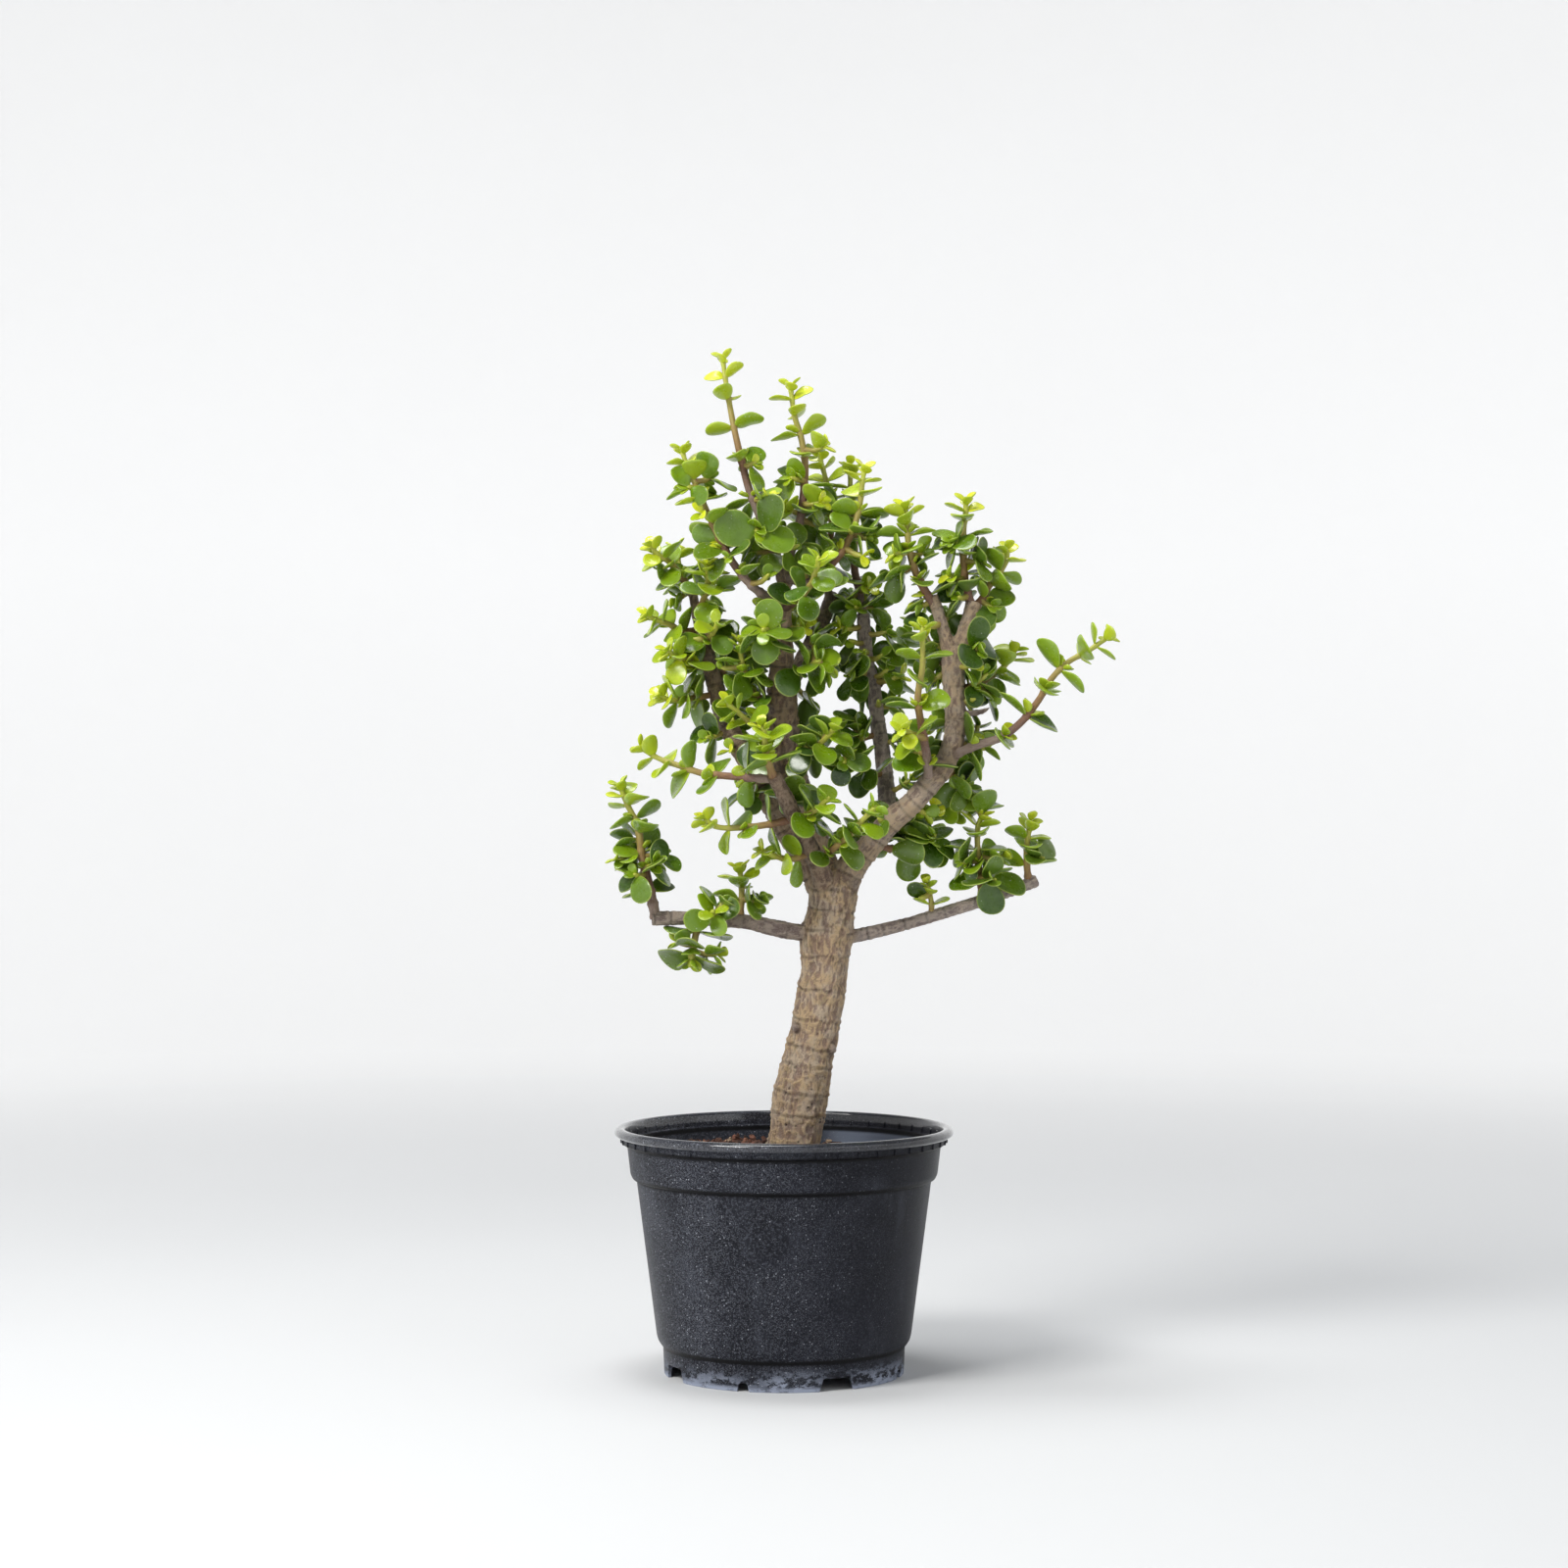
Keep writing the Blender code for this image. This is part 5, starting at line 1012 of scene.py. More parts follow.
def floor_finish(color):
    made, tree, shader = finish_of("studio_floor")
    clouds = noise(tree, in_place(tree), 1.5, 2.0)
    base = blended(tree, scaled(tree, clouds, 0.3, 0.7), color, [min(1.0, c * 1.02) for c in color])
    tree.links.new(base, shader.inputs["Base Color"])
    flat = put(tree, "ShaderNodeMapping", {"Vector": in_place(tree), "Scale": (1.0, 1.0, 0.0)}).outputs[0]
    away = put(tree, "ShaderNodeVectorMath", {0: flat}, operation="LENGTH").outputs["Value"]
    glow = blended(tree, scaled(tree, away, 0.5, 2.0), (0.0, 0.0, 0.0), WALL_GLOW)
    tree.links.new(glow, shader.inputs["Emission Color"])
    shader.inputs["Emission Strength"].default_value = 1.0
    shader.inputs["Roughness"].default_value = 0.8
    return made


# ================================================================ pot
def rounded(profile):
    """Points along a (radius, height, corner radius) profile, with its corners rounded."""
    made = []
    for i, (x, y, radius) in enumerate(profile):
        here = Vector((x, y))
        if radius == 0:
            made.append(here)
            continue
        before, after = (Vector(profile[k][:2]) - here for k in (i - 1, i + 1))
        reach = min(radius, before.length * 0.48, after.length * 0.48)
        start, end = here + before.normalized() * reach, here + after.normalized() * reach
        made += [start * (1 - t) ** 2 + here * 2 * t * (1 - t) + end * t**2 for t in (0, 0.2, 0.4, 0.6, 0.8, 1)]
    close = [made[0]]
    for point in made[1:]:
        gap = point - close[-1]
        steps = int(gap.length / 6) + 1
        if gap.length > 0.02:
            close += [close[-1] + gap * (k + 1) / steps for k in range(steps)]
    return close


def rib_turns(ribs, facets):
    """(angle, how far the rib stands out there) of each column round the pot."""
    if not ribs:
        return [(2 * math.pi * k / facets, 0.0) for k in range(facets)]
    made = []
    spread = 2 * math.pi / ribs
    half, soft = 0.0042, 0.0026
    between = max(2, facets // ribs)
    for k in range(ribs):
        middle = spread * (k + 0.5)
        made += [(middle - half - soft, 0.0), (middle - half, 1.0), (middle + half, 1.0), (middle + half + soft, 0.0)]
        gap = spread - 2 * (half + soft)
        made += [(middle + half + soft + gap * (j + 1) / (between + 1), 0.0) for j in range(between)]
    return made


def lathe_pot(ribs, facets):
    profile = rounded(POT_PROFILE)
    columns = rib_turns(ribs, facets)
    points, faces = [], []
    for turn, out in columns:
        for radius, height in profile[1:-1]:
            for low, high, inner, outer in RIB_ZONES:
                if low <= height <= high and inner <= radius <= outer:
                    radius += RIB_OUT * out * (1 if inner > 75 else -1)
            points.append((radius * math.cos(turn), radius * math.sin(turn), height))
    rows, count = len(profile) - 2, len(columns)
    for k in range(count):
        a, b = k * rows, (k + 1) % count * rows
        faces += [(a + j, b + j, b + j + 1, a + j + 1) for j in range(rows - 1)]
    points += [(0, 0, profile[0].y), (0, 0, profile[-1].y)]
    last = count * rows
    for k in range(count):
        a, b = k * rows, (k + 1) % count * rows
        faces += [(last, b, a), (last + 1, a + rows - 1, b + rows - 1)]
    return mesh_of("pot_shell", points, faces)


def notch_cutter(size, turn):
    """A wedge that is narrower at its top, through the pot's foot."""
    foot, top, height = size
    points = []
    for radius in (52.5, 60.0):
        for half, z in ((foot / 2 + 0.6, -1.0), (top / 2, height - 0.7), (top / 2 - 0.7, height)):
            points += [(radius, -half, z), (radius, half, z)]
    spun = Matrix.Rotation(math.radians(turn), 3, "Z")
    points = [tuple(spun @ Vector(p)) for p in points]
    ring = (0, 2, 4, 5, 3, 1)
    faces = [ring[::-1], tuple(6 + k for k in ring)]
    faces += [(ring[k], ring[(k + 1) % 6], 6 + ring[(k + 1) % 6], 6 + ring[k]) for k in range(6)]
    return points, faces


def drum_cutter(radius, centre, low, high, steps=28):
    points, faces = [], []
    for z in (low, high):
        for k in range(steps):
            turn = 2 * math.pi * k / steps
            points.append((centre[0] + radius * math.cos(turn), centre[1] + radius * math.sin(turn), z))
    faces = [tuple(range(steps))[::-1], tuple(range(steps, 2 * steps))]
    faces += [(k, (k + 1) % steps, steps + (k + 1) % steps, steps + k) for k in range(steps)]
    return points, faces


def build_pot(settings):
    pot = new_object("nursery_pot", lathe_pot(settings.drip_ribs, settings.facets), [])
    shapes = []
    for k in range(4):
        turn = NOTCH_TURN + 90 * k
        shapes += [notch_cutter(WIDE_NOTCH, turn), notch_cutter(NARROW_NOTCH, turn + 45)]
        radius, reach = DRAIN_HOLE
        at = Matrix.Rotation(math.radians(turn), 3, "Z") @ Vector((reach, 0, 0))
        shapes.append(drum_cutter(radius, at, 2.0, 9.0))
    points, faces = [], []
    for shape_points, shape_faces in shapes:
        faces += [tuple(len(points) + k for k in face) for face in shape_faces]
        points += shape_points
    cutter = new_object("notches_cutter", mesh_of("notches_cutter", points, faces, smooth=False), [])
    outward(cutter.data)
    outward(pot.data)
    cut = pot.modifiers.new("notches", "BOOLEAN")
    cut.operation = "DIFFERENCE"
    cut.solver = "EXACT"
    cut.object = cutter
    applied(pot)
    bpy.data.objects.remove(cutter)
    pot.data.shade_smooth()
    pot.data.set_sharp_from_angle(angle=math.radians(38))
    pot.data.materials.append(plastic_finish(settings.plastic))
    keep_with_pot(pot, ["pot"])


# ================================================================ potting mix
def mix_height(x, y):
    """Height of the mix's surface, mm: humps and hollows, higher to the left and against the trunk."""
    at = np.stack([x, y, np.zeros_like(x)], -1)
    from_trunk = np.hypot(x - 3, y)
    level = MIX_TOP + 0.6 + 3.2 * noise_at(at, 24.0, 5, 2) + 1.8 * noise_at(at, 7.0, 9, 3) - 0.03 * x
    return level + 3.2 * bump_of(from_trunk, 19.0)


def mix_bed():
    """The mix as one closed body down to the pot's floor. Returns points and faces."""
    turns = np.linspace(0, 2 * math.pi, 220, endpoint=False)
    reach = np.linspace(0.8, MIX_EDGE, 70)
    points = [(0.0, 0.0, float(mix_height(np.array(0.0), np.array(0.0))))]
    grid = reach[None, :] * np.stack([np.cos(turns), np.sin(turns)])[..., None]
    heights = mix_height(grid[0], grid[1]) + 0.45 * noise_at(np.stack([grid[0], grid[1], grid[0] * 0], -1), 2.2, 31, 2)
    rows = len(reach) + len(MIX_UNDER)
    for k, turn in enumerate(turns):
        points += [(grid[0, k, j], grid[1, k, j], heights[k, j]) for j in range(len(reach))]
        points += [(r * math.cos(turn), r * math.sin(turn), z) for r, z in MIX_UNDER]
    points.append((0.0, 0.0, MIX_UNDER[-1][1]))
    faces = []
    for k in range(len(turns)):
        a, b = 1 + k * rows, 1 + (k + 1) % len(turns) * rows
        faces += [(0, a, b), (a + rows - 1, len(points) - 1, b + rows - 1)]
        faces += [(a + j, a + j + 1, b + j + 1, b + j) for j in range(rows - 1)]
    return np.array(points), faces


def crumb_template():
    built = bmesh.new()
    bmesh.ops.create_icosphere(built, subdivisions=2, radius=1.0)
    points = np.array([v.co for v in built.verts])
    faces = [tuple(v.index for v in face.verts) for face in built.faces]
    built.free()
    return points, faces


def build_mix(settings):
    rng = np.random.default_rng(7)
    bed, faces = mix_bed()
    lumps, lump_faces = crumb_template()
    points, tints = [bed], [0.25 + 0.35 * (noise_at(bed, 5.0, 3, 3) + 0.3)]
    count = len(bed)
    mean = settings.crumb_size / MM
    for k in range(settings.crumbs):
        turn, reach = rng.uniform(0, 2 * math.pi), MIX_EDGE * math.sqrt(rng.uniform(0.0, 1.0))
        x, y = reach * math.cos(turn), reach * math.sin(turn)
        if math.hypot(x - 3, y) < 13.5:
            x, y = 3 + (x - 3) * 1.9 + 6, y * 1.9
        size = mean * rng.lognormal(0.0, 0.42) * 0.5 * np.array([1.0, rng.uniform(0.6, 1.0), rng.uniform(0.45, 0.9)])
        room = 70.9 - size.max()
        if math.hypot(x, y) > room:
            x, y = x * room / math.hypot(x, y), y * room / math.hypot(x, y)
        spun = np.array(Matrix.Rotation(rng.uniform(0, 6.28), 3, Vector(rng.normal(size=3))))
        rough = 1 + 1.5 * noise_at(lumps + rng.uniform(0, 900), 0.8, 2, 3)[:, None]
        level = float(mix_height(np.array(x), np.array(y))) + size.min() * rng.uniform(0.1, 1.1)
        points.append((lumps * rough * size) @ spun.T + np.array([x, y, level]))
        tints.append(np.full(len(lumps), rng.choice([0.12, 0.4, 0.62, 0.8, 1.0], p=[0.24, 0.3, 0.27, 0.15, 0.04])))
        faces += [tuple(count + i for i in face) for face in lump_faces]
        count += len(lumps)
    mesh = mesh_of("potting_mix_loose", np.concatenate(points), faces)
    mesh.shade_flat()
    set_values(mesh, "tint", np.clip(np.concatenate(tints), 0, 1))
    mix = new_object("loose_potting_mix", mesh, [mix_finish()])
    keep_with_pot(mix, ["potting_mix"])


# ================================================================ wood
def tube(line, sides, grow=0.0):
    """Points and faces of a closed tube along a line of (x, y, z, radius), made grow thicker and longer."""
    frames = frames_along(line)
    points, faces = [], []
    for i, (centre, tangent, across) in enumerate(frames):
        if i == 0:
            centre = centre - tangent * grow
        if i == len(frames) - 1:
            centre = centre + tangent * grow
        beside = tangent.cross(across)
        radius = (line[i][3] + grow) / math.cos(math.pi / sides) ** 0.5
        for k in range(sides):
            turn = 2 * math.pi * k / sides
            points.append(centre + radius * (math.cos(turn) * across + math.sin(turn) * beside))
    for i in range(len(frames) - 1):
        for k in range(sides):
            a, b = i * sides + k, i * sides + (k + 1) % sides
            faces.append((a, b, b + sides, a + sides))
    faces.append(tuple(range(sides - 1, -1, -1)))
    last = (len(frames) - 1) * sides
    faces.append(tuple(range(last, last + sides)))
    return points, faces


def wood_lines(step):
    """Every line of the wood, under the name of the piece that it belongs to."""
    made = {"trunk": [smooth_route(TRUNK, step)]}
    for name, parts in LIMBS.items():
        made[name] = [smooth_route(part, step) for part in parts]
    return made


def tree_round(line, sides, grow):
    points, faces = tube(line, sides, grow)
    return BVHTree.FromPolygons(points, faces)


class WoodField:
    """Where each point of the bark is along and round the nearest line of the wood."""

    def __init__(self, lines):
        rows = []
        for index, line in enumerate(lines):
            walked = 0.0
            for i, (centre, tangent, across) in enumerate(frames_along(line)):
                if i:
                    walked += math.dist(line[i][:3], line[i - 1][:3])
                rows.append((*centre, *tangent, *across, walked, line[i][3], index))
        self.rows = np.array(rows, np.float32)

    def at(self, points):
        nearest = np.empty(len(points), np.int64)
        middles, radii = self.rows[:, :3], self.rows[:, 10]
        for start in range(0, len(points), 3000):
            part = points[start : start + 3000]
            apart = np.sqrt(((part[:, None, :] - middles[None]) ** 2).sum(-1)) - radii[None]
            nearest[start : start + 3000] = apart.argmin(1)
        rows = self.rows[nearest]
        out = points - rows[:, :3]
        tangent, across = rows[:, 3:6], rows[:, 6:9]
        beside = np.cross(tangent, across)
        ahead = (out * tangent).sum(1)
        turn = np.arctan2((out * beside).sum(1), (out * across).sum(1))
        return rows[:, 11].astype(int), rows[:, 9] + ahead, turn, rows[:, 10], tangent


def smooth_step(value, low, high):
    share = np.clip((value - low) / (high - low), 0, 1)
    return share * share * (3 - 2 * share)


def evened(mesh, values, rounds):
    """Values of the mesh's points, each mixed with its neighbours' the given number of times."""
    ends = np.empty(len(mesh.edges) * 2, np.int64)
    mesh.edges.foreach_get("vertices", ends)
    a, b = ends.reshape(-1, 2).T
    count = np.bincount(a, minlength=len(values)) + np.bincount(b, minlength=len(values)) + 1.0
    values = np.asarray(values, float)
    for _ in range(rounds):
        total = values + np.bincount(a, values[b], len(values)) + np.bincount(b, values[a], len(values))
        values = total / count
    return values


def bark_relief(grown, line, walked, radius, settings):
    """(how far the bark stands out, how deep in a crease it is, how high on a wrinkle) at each point."""
    rng = np.random.default_rng(11)
    thick = np.clip(radius / 12.0, 0.18, 1.0)
    old = smooth_step(radius, 4.2, 9.5)
    stretched = grown * np.array([1.0, 1.0, 0.4])
    swell = noise_at(grown, 13.0, 21, 2) * 0.95 * thick + noise_at(grown, 5.0, 23, 2) * 0.42 * thick
    folds = 1 - np.abs(noise_at(stretched, 1.9, 41, 2)) * 3.6
    folds = np.maximum(folds, 0.85 - np.abs(noise_at(stretched, 3.4, 45, 2)) * 3.4)
    wrinkle = np.clip(folds, 0, 1) ** 1.5
    cracks = np.exp(-((noise_at(stretched, 5.2, 51, 3) / 0.045) ** 2)) * old
    gnarl = noise_at(grown, 1.9, 61, 3)
    rings = np.zeros(len(grown))
    ridge = np.zeros(len(grown))
    wander = 1.5 * noise_at(grown * np.array([1, 1, 0.15]), 8.0, 71, 2) * thick
    for index in np.unique(line):
        on = line == index
        end = walked[on].max()
        mean = 13.0 if index == 0 else 9.0
        at = rng.uniform(2, mean)
        while at < end:
            apart = walked[on] + wander[on] - at
            force = rng.uniform(0.5, 1.0)
            rings[on] += force * bump_of(apart, 0.5 + 0.25 * thick[on])
            ridge[on] += force * (bump_of(apart - 1.3, 1.0) + 0.7 * bump_of(apart + 1.3, 0.9))
            at += mean * rng.uniform(0.55, 1.25)
    broken = smooth_step(noise_at(grown * np.array([1, 1, 0.1]), 7.0, 81, 2), -0.35, 0.25)
    rings = rings * (0.4 + 0.6 * broken)
    fissures, scars = settings.fissures / MM, settings.rings / MM
    out = swell + fissures * thick * (wrinkle - cracks) + 0.22 * gnarl * thick
    out += scars * (0.22 + 0.78 * thick) * (0.75 * ridge - 0.95 * rings)
    crease = np.clip(cracks * 0.5 + rings * 0.95 - wrinkle * 0.1, 0, 1)
    wrinkle = np.clip(wrinkle + 0.5 * ridge * broken, 0, 1)
    return out, crease, wrinkle


def build_wood(settings):
    lines = [line for parts in wood_lines(1.0).values() for line in parts]
    owners = [name for name, parts in wood_lines(12.0).items() for _ in parts]
    owners += ["stub"] * (len(STUBS) + ROOT_COUNT)
    sawn = {len(lines) - 1, len(lines) - 2}
    lines += [smooth_route(stub, 1.0) for stub in STUBS]
    lines += root_lines()
    points, faces = [], []
    for line in lines:
        more, more_faces = tube(line, 20)
        faces += [tuple(len(points) + k for k in face) for face in more_faces]
        points += [tuple(p) for p in more]
    wood = new_object("trunk_and_limbs", mesh_of("trunk_and_limbs", points, faces), [])
    remesh = wood.modifiers.new("one skin", "REMESH")
    remesh.mode = "VOXEL"
    remesh.voxel_size = settings.grid
    soften = wood.modifiers.new("soften", "SMOOTH")
    soften.factor = 0.5
    soften.iterations = 5
    applied(wood)
    mesh = wood.data
    places = points_of(mesh)
    normals = normals_of(mesh)
    line, walked, turn, radius, tangent = WoodField(lines).at(places)
    grown = np.stack([np.cos(turn) * radius, np.sin(turn) * radius, walked + 61.0 * line], 1)
    out, crease, wrinkle = bark_relief(grown, line, walked, radius, settings)
    ends = np.isin(line, list(sawn)) & ((normals * tangent).sum(1) > 0.75)
    out[ends] = 0.25 * noise_at(places[ends], 1.5, 91, 2)
    crease[ends] = 0
    moved = (places + normals * out[:, None]) * MM
    mesh.vertices.foreach_set("co", moved.astype(np.float32).ravel())
    set_vectors(mesh, "grown", grown)
    set_values(mesh, "crease", crease)
    set_values(mesh, "cut", ends)
    set_values(mesh, "wrinkle", wrinkle)
    tones = np.array([WOOD_TONES.get(owners[k], (1.0, 0.5)) for k in line])
    set_values(mesh, "young", evened(mesh, tones[:, 0], 14))
    set_values(mesh, "grey", evened(mesh, tones[:, 1], 14))
    mesh.update()
    mesh.shade_smooth()
    mesh.materials.append(bark_finish())
    keep_with_pot(wood, ["trunk", *LIMBS])


# ================================================================ leaves
LEAF_SPOTS = 26
STEM_FULLNESS = 1.22
LEAF_RINGS = (1.0, 0.985, 0.93, 0.82, 0.6, 0.3)
LEAF_MIDDLE = 0.55
LEAF_DEEP = 1.85  # mm through a grown leaf


def leaf_net():
    """(share of the way round, shrink, face) for each point of a leaf's mesh, and its faces."""
    around = np.arange(LEAF_SPOTS) / LEAF_SPOTS * 2 * math.pi
    spots = [(turn, ring, 0) for turn in around for ring in [LEAF_RINGS[0]]]
    for face in (1, -1):
        for ring in LEAF_RINGS[1:]:
            spots += [(turn, ring, face) for turn in around]
        spots.append((0.0, 0.0, face))
    faces = []
    half = (len(LEAF_RINGS) - 1) * LEAF_SPOTS + 1
    for face in (1, -1):
        first = LEAF_SPOTS + (0 if face == 1 else half)
        rings = [0] + [first + k * LEAF_SPOTS for k in range(len(LEAF_RINGS) - 1)]
        middle = first + (len(LEAF_RINGS) - 1) * LEAF_SPOTS
        for a, b in zip(rings, rings[1:]):
            for k in range(LEAF_SPOTS):
                n = (k + 1) % LEAF_SPOTS
                quad = (a + k, a + n, b + n, b + k)
                faces.append(quad if face == 1 else quad[::-1])
        for k in range(LEAF_SPOTS):
            n = (k + 1) % LEAF_SPOTS
            fan = (rings[-1] + k, rings[-1] + n, middle)
            faces.append(fan if face == 1 else fan[::-1])
    return np.array(spots), faces


LEAF_NET = leaf_net()


def leaf_mesh(leaf, fullness, rng):
    """Points of a fleshy, cupped leaf, and its values for the leaf skin."""
    spots, _ = LEAF_NET
    leaf = leaf._replace(twist=leaf.twist + rng.uniform(-32, 32))
    turn, ring, face = spots.T
    along, across, up = (np.array(axis) for axis in leaf_axes(leaf))
    base = np.array(leaf.centre + leaf.side * (leaf.radius - 0.25))
    length, wide = leaf.length * fullness, leaf.wide * fullness
    foot_power = rng.uniform(0.6, 0.88)
    tip_power = rng.uniform(0.44, 0.56)
    peak = foot_power / (foot_power + tip_power)
    scale = 1 / (peak**foot_power * (1 - peak) ** tip_power)
    share = 0.5 * (1 - np.cos(turn))
    half = scale * share**foot_power * (1 - share) ** tip_power
    half = np.maximum(half, 0.11 * (share < 0.5))
    side = np.where(np.sin(turn) >= -1e-9, 1, -1) * (np.abs(np.sin(turn)) > 1e-6)
    u = LEAF_MIDDLE + (share - LEAF_MIDDLE) * ring
    v = half * side * ring
    size = min(1.0, 0.45 + 0.55 * leaf.length / 12.0)
    deep = LEAF_DEEP * size * np.sqrt(np.clip(1 - ring**2.3, 0, 1))
    rise = np.where(face > 0, 0.34, -0.66) * deep * (np.abs(face) > 0)
    cup = rng.uniform(0.02, 0.16) * wide
    bend = rng.uniform(0.6, 1.5) * LEAF_DROOP * length
    lop = rng.uniform(-0.07, 0.07) * length
    wave = rng.uniform(-0.035, 0.035) * length
    lift = rise + cup * v**2 - bend * u**2 + wave * np.sin(2.6 * math.pi * u + 1.0) * v
    places = (
        base + np.outer(u * length - 0.4, along) + np.outer(v * wide / 2 + lop * u**2 * (1 - 0.3 * u), across)
        + np.outer(lift, up)
    )
    rank_age = (0.04, 0.18, 0.34, 0.48, 0.6, 0.7, 0.78, 0.84)[min(leaf.rank, 7)]
    if leaf.shoot.startswith("sprigs"):
        rank_age = 0.4 + 0.11 * min(leaf.rank, 4)
    rank_age += OLDER_SHOOTS.get(leaf.shoot, 0.0)
    rank_age -= 0.24 * float(smooth_step(leaf.centre.z, 375.0, 430.0))
    age = np.clip(rank_age + rng.uniform(-0.14, 0.16), 0, 1)
    values = {
        "age": np.full(len(u), age), "tint": np.full(len(u), rng.uniform(0, 1)), "rim": ring, "along": u,
        "under": (face < 0).astype(float),
    }
    return places, values


def side_leaves(leaf, rng):
    """A small young pair in the crook above an old leaf."""
    if leaf.rank < 3 or rng.random() > 0.55:
        return []
    made = []
    for turn in (-34, 30):
        side = Matrix.Rotation(math.radians(turn + rng.uniform(-12, 12)), 3, leaf.stem) @ leaf.side
        length = leaf.length * rng.uniform(0.3, 0.52)
        made.append(leaf._replace(
            side=side, lean=leaf.lean * rng.uniform(0.4, 0.62), length=length, wide=length * 0.82, rank=1,
            centre=leaf.centre + leaf.stem * 1.3,
        ))
    return made


def tip_leaves(shoot, line, older):
    """The unopened pair at the end of a growing shoot."""
    if not shoot.tip or older > 0.15:
        return []
    centre, stem, across = frames_along(line)[-1]
    made = []
    for turn in (0, 180):
        side = Matrix.Rotation(math.radians(shoot.roll + 90 * shoot.pairs + turn), 3, stem) @ across
        made.append(Leaf("", (0, 0), centre, line[-1][3] * 0.4, stem, side, 44.0, 0.0, 6.2, 4.4, 0))
    return made


def stem_skin(shoot, line, first_node):
    """Points, faces and ages of a round stem with swollen joints."""
    frames = frames_along(line)
    nodes = list(pair_places(shoot, line))
    bare = first_node
    while bare > 6:
        bare -= 6
        nodes.append(bare)
    sides = 10
    points, ages, grown = [], [], []
    count = len(line)
    for i, (centre, tangent, across) in enumerate(frames):
        beside = tangent.cross(across)
        swell = sum(math.exp(-((i - node) / 1.1) ** 2) for node in nodes if abs(i - node) < 4)
        pinch = sum(math.exp(-((i - node - 1.6) / 0.7) ** 2) for node in nodes if abs(i - node) < 5)
        radius = STEM_FULLNESS * line[i][3] * (1 + 0.2 * swell - 0.07 * pinch)
        if i >= count - 3:
            radius *= 1 - 0.22 * (i - count + 3)
        for k in range(sides):
            turn = 2 * math.pi * k / sides
            points.append(centre + radius * (math.cos(turn) * across + math.sin(turn) * beside))
            grown.append((math.cos(turn) * radius, math.sin(turn) * radius, i))
            ages.append(min(1.0, (1 - i / count) ** 1.1 * (0.35 + count / 95)))
    faces = []
    for i in range(count - 1):
        for k in range(sides):
            a, b = i * sides + k, i * sides + (k + 1) % sides
            faces.append((a, b, b + sides, a + sides))
    faces.append(tuple(range(sides - 1, -1, -1)))
    faces.append(tuple(range((count - 1) * sides, count * sides)))
    return np.array([tuple(p) for p in points]), faces, np.array(ages), np.array(grown)


def shoot_piece(name, parts, fullness, finishes):
    """One object of stems and leaves. parts holds (shoot, its leaves)."""
    rng = random.Random(name)
    points, faces, skins = [], [], []
    values = {key: [] for key in ("age", "tint", "rim", "along", "under")}
    grown = []
    count = 0
    for shoot, leaves in parts:
        line = stem_line(shoot)
        places, stem_faces, ages, round_stem = stem_skin(shoot, line, pair_places(shoot, line)[0])
        points.append(places)
        faces += [tuple(count + k for k in face) for face in stem_faces]
        skins += [1] * len(stem_faces)
        for key in values:
            values[key].append(ages if key == "age" else np.zeros(len(places)))
        grown.append(round_stem)
        count += len(places)
        older = OLDER_SHOOTS.get(leaves[0].shoot, 0.0) if leaves else 1.0
        every = [*leaves, *tip_leaves(shoot, line, older)]
        for leaf in leaves:
            every += side_leaves(leaf, rng)
        for leaf in every:
            places, leaf_values = leaf_mesh(leaf, fullness, rng)
            points.append(places)
            faces += [tuple(count + k for k in face) for face in LEAF_NET[1]]
            skins += [0] * len(LEAF_NET[1])
            for key in values:
                values[key].append(leaf_values[key])
            grown.append(np.zeros((len(places), 3)))
            count += len(places)
    mesh = mesh_of(name, np.concatenate(points), faces)
    for key, parts_of in values.items():
        set_values(mesh, key, np.concatenate(parts_of))
    set_vectors(mesh, "grown", np.concatenate(grown))
    obj = new_object(name, mesh, finishes)
    mesh.polygons.foreach_set("material_index", np.array(skins, np.int32))
    return obj


def sprig_of(tip, pairs, leaf, lines, rng):
    """A short shoot from the nearest wood to its tip."""
    tip = Vector(tip)
    wood = min((Vector(p[:3]) for line in lines for p in line), key=lambda p: (p - tip).length)
    reach = tip - wood
    bow = Vector((rng.uniform(-1, 1), rng.uniform(-1, 1), -1.0)) * reach.length * 0.08
    route = [tuple(wood), tuple(wood + reach * 0.5 + bow), tuple(tip)]
    line_length = max(1.0, reach.length)
    bare = min(0.75, max(0.3, 1 - (4.5 * (pairs - 1)) / line_length))
    return Shoot(route, (1.2, 0.8), pairs, leaf, rng.uniform(0, 180), bare, rng.random() < 0.4)


def hides_wood(leaf, lines, rng):
    """Whether a sprig's leaf stands before a limb or a stem, which most leaves leave in view."""
    middle = leaf.centre + leaf_axes(leaf)[0] * leaf.length * 0.55
    chance = rng.random()
    for line in lines:
        for x, y, z, radius in line:
            if y > middle.y and math.hypot(x - middle.x, z - middle.z) < radius + (2.6 if radius > 2.5 else 1.4):
                if chance < (0.95 if radius > 2.5 else 0.7):
                    return True
    return False


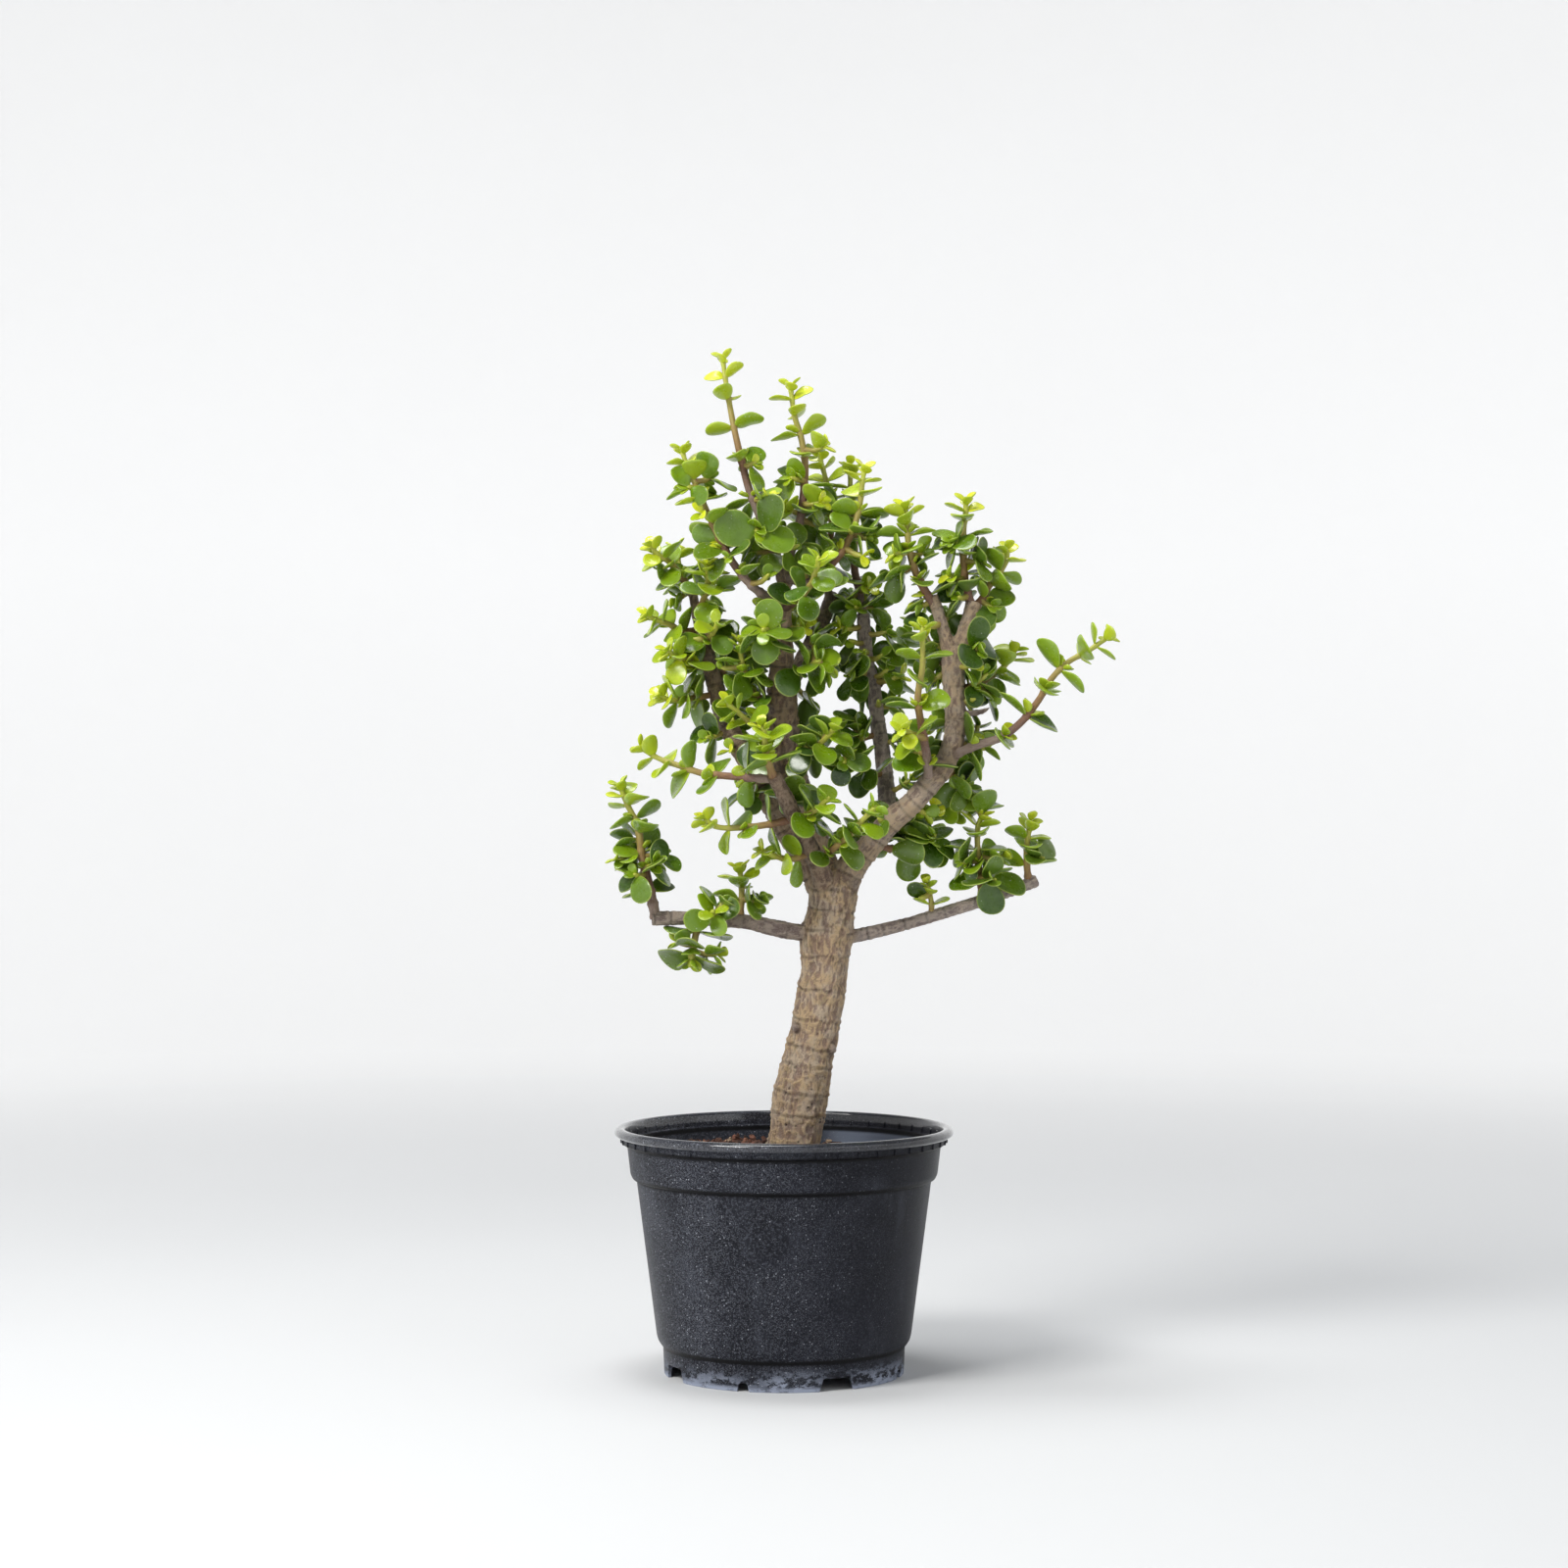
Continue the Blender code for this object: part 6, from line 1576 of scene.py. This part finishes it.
class Foliage:
    """Places every leaf once: first those of the long shoots, then those of the sprigs along the limbs."""

    def __init__(self, density):
        rng = random.Random("sprigs")
        lines = wood_lines(12.0)
        fine = [line for parts in wood_lines(2.0).values() for line in parts]
        fine += [stem_line(shoot) for shoot in SHOOTS.values()]
        stems = {name: coarse_stem(shoot) for name, shoot in SHOOTS.items()}
        trees = {name: tree_round(line, 8, CLEAR) for name, line in stems.items()}
        for name, parts in lines.items():
            for i, line in enumerate(parts):
                trees[f"{name}_{i}"] = tree_round(line, 8, CLEAR)
        self.shoots = dict(SHOOTS)
        self.sprigs = {}
        for group, spots in SPRIGS.items():
            self.sprigs[group] = []
            for k, (x, y, z, pairs, leaf) in enumerate(spots):
                if rng.random() < density:
                    name = f"{group}_{k}"
                    self.shoots[name] = sprig_of((x, y, z), pairs, leaf, fine, rng)
                    self.sprigs[group].append(name)
        self.leaves = {name: [] for name in self.shoots}
        for leaf in settled_leaves(self.shoots, trees):
            kept = leaf.shoot in SHOOTS or leaf.shoot.startswith("sprigs_fork") or leaf.length > 13.4
            if kept or not hides_wood(leaf, fine, rng):
                self.leaves[leaf.shoot].append(leaf)


def build_shoots(settings):
    foliage = Foliage(settings.tuft_density)
    finishes = [leaf_finish(), stem_finish()]
    for name, shoot in SHOOTS.items():
        piece = shoot_piece(name + "_leafy", [(shoot, foliage.leaves[name])], settings.fullness, finishes)
        keep_with_pot(piece, [name])
    for group, names in foliage.sprigs.items():
        parts = [(foliage.shoots[name], foliage.leaves[name]) for name in names]
        keep_with_pot(shoot_piece(group, parts, settings.fullness, finishes), [])


# ================================================================ stage
CAMERA_AT = (0.0, -1.575, 0.278)
CAMERA_LENS = 76.4
CAMERA_SENSOR = 36.0
FLOOR_REACH = 1.95  # m of flat floor round the part
COVE = 0.55
WALL_TOP = 1.5


def build_stage(settings):
    profile = [(0.05 + 1.9 * (k / 24), 0.0) for k in range(25)]
    profile += [
        (FLOOR_REACH + COVE * math.sin(t), COVE * (1 - math.cos(t))) for t in np.linspace(0, math.pi / 2, 20)
    ]
    profile += [(FLOOR_REACH + COVE, COVE + (WALL_TOP - COVE) * k / 6) for k in range(1, 7)]
    steps = 96
    points = [(0, 0, 0)]
    for k in range(steps):
        turn = 2 * math.pi * k / steps
        points += [(r * math.cos(turn), r * math.sin(turn), z) for r, z in profile]
    rows = len(profile)
    faces = []
    for k in range(steps):
        a, b = 1 + k * rows, 1 + (k + 1) % steps * rows
        faces.append((0, a, b))
        faces += [(a + j, a + j + 1, b + j + 1, b + j) for j in range(rows - 1)]
    floor = new_object("floor_and_cove", mesh_of("floor_and_cove", np.array(points) / MM, faces),
                       [floor_finish(settings.floor)])

    camera_data = bpy.data.cameras.new("camera")
    camera_data.lens = CAMERA_LENS
    camera_data.sensor_width = CAMERA_SENSOR
    camera = bpy.data.objects.new("camera", camera_data)
    camera.location = CAMERA_AT
    camera.rotation_euler = (math.pi / 2, 0, 0)
    bpy.context.scene.collection.objects.link(camera)
    bpy.context.scene.camera = camera

    lamps = (
        ("key_light", (-1.0, -1.05, 1.5), (0.75, 0.65), settings.key, (1.0, 0.985, 0.96)),
        ("fill_light", (1.35, -1.0, 0.95), (1.2, 1.2), settings.key * 0.07, (0.95, 0.98, 1.0)),
        ("top_light", (-0.15, 0.1, 1.6), (0.55, 0.5), settings.key * 0.36, (1.0, 1.0, 1.0)),
    )
    for name, at, size, power, color in lamps:
        data = bpy.data.lights.new(name, "AREA")
        data.shape = "RECTANGLE"
        data.size, data.size_y = size
        data.energy = power
        data.color = color
        lamp = bpy.data.objects.new(name, data)
        lamp.location = at
        lamp.rotation_euler = (Vector((0, 0, 0.25)) - Vector(at)).to_track_quat("-Z", "Y").to_euler()
        bpy.context.scene.collection.objects.link(lamp)

    world = bpy.data.worlds.new("pale room")
    world.use_nodes = True
    background = world.node_tree.nodes["Background"]
    background.inputs["Color"].default_value = (0.93, 0.96, 1.0, 1.0)
    background.inputs["Strength"].default_value = 0.26
    bpy.context.scene.world = world
    bpy.context.scene.view_settings.view_transform = "Standard"


# ================================================================ what the add-on offers
class BuildPot(Operator):
    """Turn and notch the nursery pot"""

    bl_idname = "potted_jade.build_pot"
    bl_label = "Pot"

    def execute(self, context):
        build_pot(context.scene.potted_jade_pot)
        return {"FINISHED"}


class BuildMix(Operator):
    """Fill the pot with loose potting mix"""

    bl_idname = "potted_jade.build_mix"
    bl_label = "Potting mix"

    def execute(self, context):
        build_mix(context.scene.potted_jade_mix)
        return {"FINISHED"}


class BuildWood(Operator):
    """Grow the trunk, its roots and its limbs, with their bark"""

    bl_idname = "potted_jade.build_wood"
    bl_label = "Trunk and limbs"

    def execute(self, context):
        build_wood(context.scene.potted_jade_wood)
        return {"FINISHED"}


class BuildShoots(Operator):
    """Grow the leafy shoots and the sprigs along the limbs"""

    bl_idname = "potted_jade.build_shoots"
    bl_label = "Leafy shoots"

    def execute(self, context):
        build_shoots(context.scene.potted_jade_leaves)
        return {"FINISHED"}


class BuildStage(Operator):
    """Lay the pale floor with its coved wall, and set the lights and the camera"""

    bl_idname = "potted_jade.build_stage"
    bl_label = "Stage"

    def execute(self, context):
        build_stage(context.scene.potted_jade_stage)
        return {"FINISHED"}


GROUPS = {
    "potted_jade_pot": PottedJadePot,
    "potted_jade_mix": PottedJadeMix,
    "potted_jade_wood": PottedJadeWood,
    "potted_jade_leaves": PottedJadeLeaves,
    "potted_jade_stage": PottedJadeStage,
}
OPERATORS = (BuildPot, BuildMix, BuildWood, BuildShoots, BuildStage)


class PottedJadePanel(Panel):
    """Builds each piece of the potted jade tree"""

    bl_idname = "VIEW3D_PT_potted_jade"
    bl_label = "Potted jade"
    bl_space_type = "VIEW_3D"
    bl_region_type = "UI"
    bl_category = "Potted jade"

    def draw(self, context):
        for (group, kind), operator in zip(GROUPS.items(), OPERATORS):
            box = self.layout.box()
            for key in kind.__annotations__:
                box.prop(getattr(context.scene, group), key)
            box.operator(operator.bl_idname)


def register():
    for kind in (*GROUPS.values(), *OPERATORS, PottedJadePanel):
        bpy.utils.register_class(kind)
    for name, kind in GROUPS.items():
        setattr(bpy.types.Scene, name, PointerProperty(type=kind))


def unregister():
    for name in GROUPS:
        delattr(bpy.types.Scene, name)
    for kind in reversed((*GROUPS.values(), *OPERATORS, PottedJadePanel)):
        bpy.utils.unregister_class(kind)


def main():
    register()
    bpy.ops.potted_jade.build_pot()
    bpy.ops.potted_jade.build_mix()
    bpy.ops.potted_jade.build_wood()
    bpy.ops.potted_jade.build_shoots()
    bpy.ops.potted_jade.build_stage()


if __name__ == "__main__":
    main()
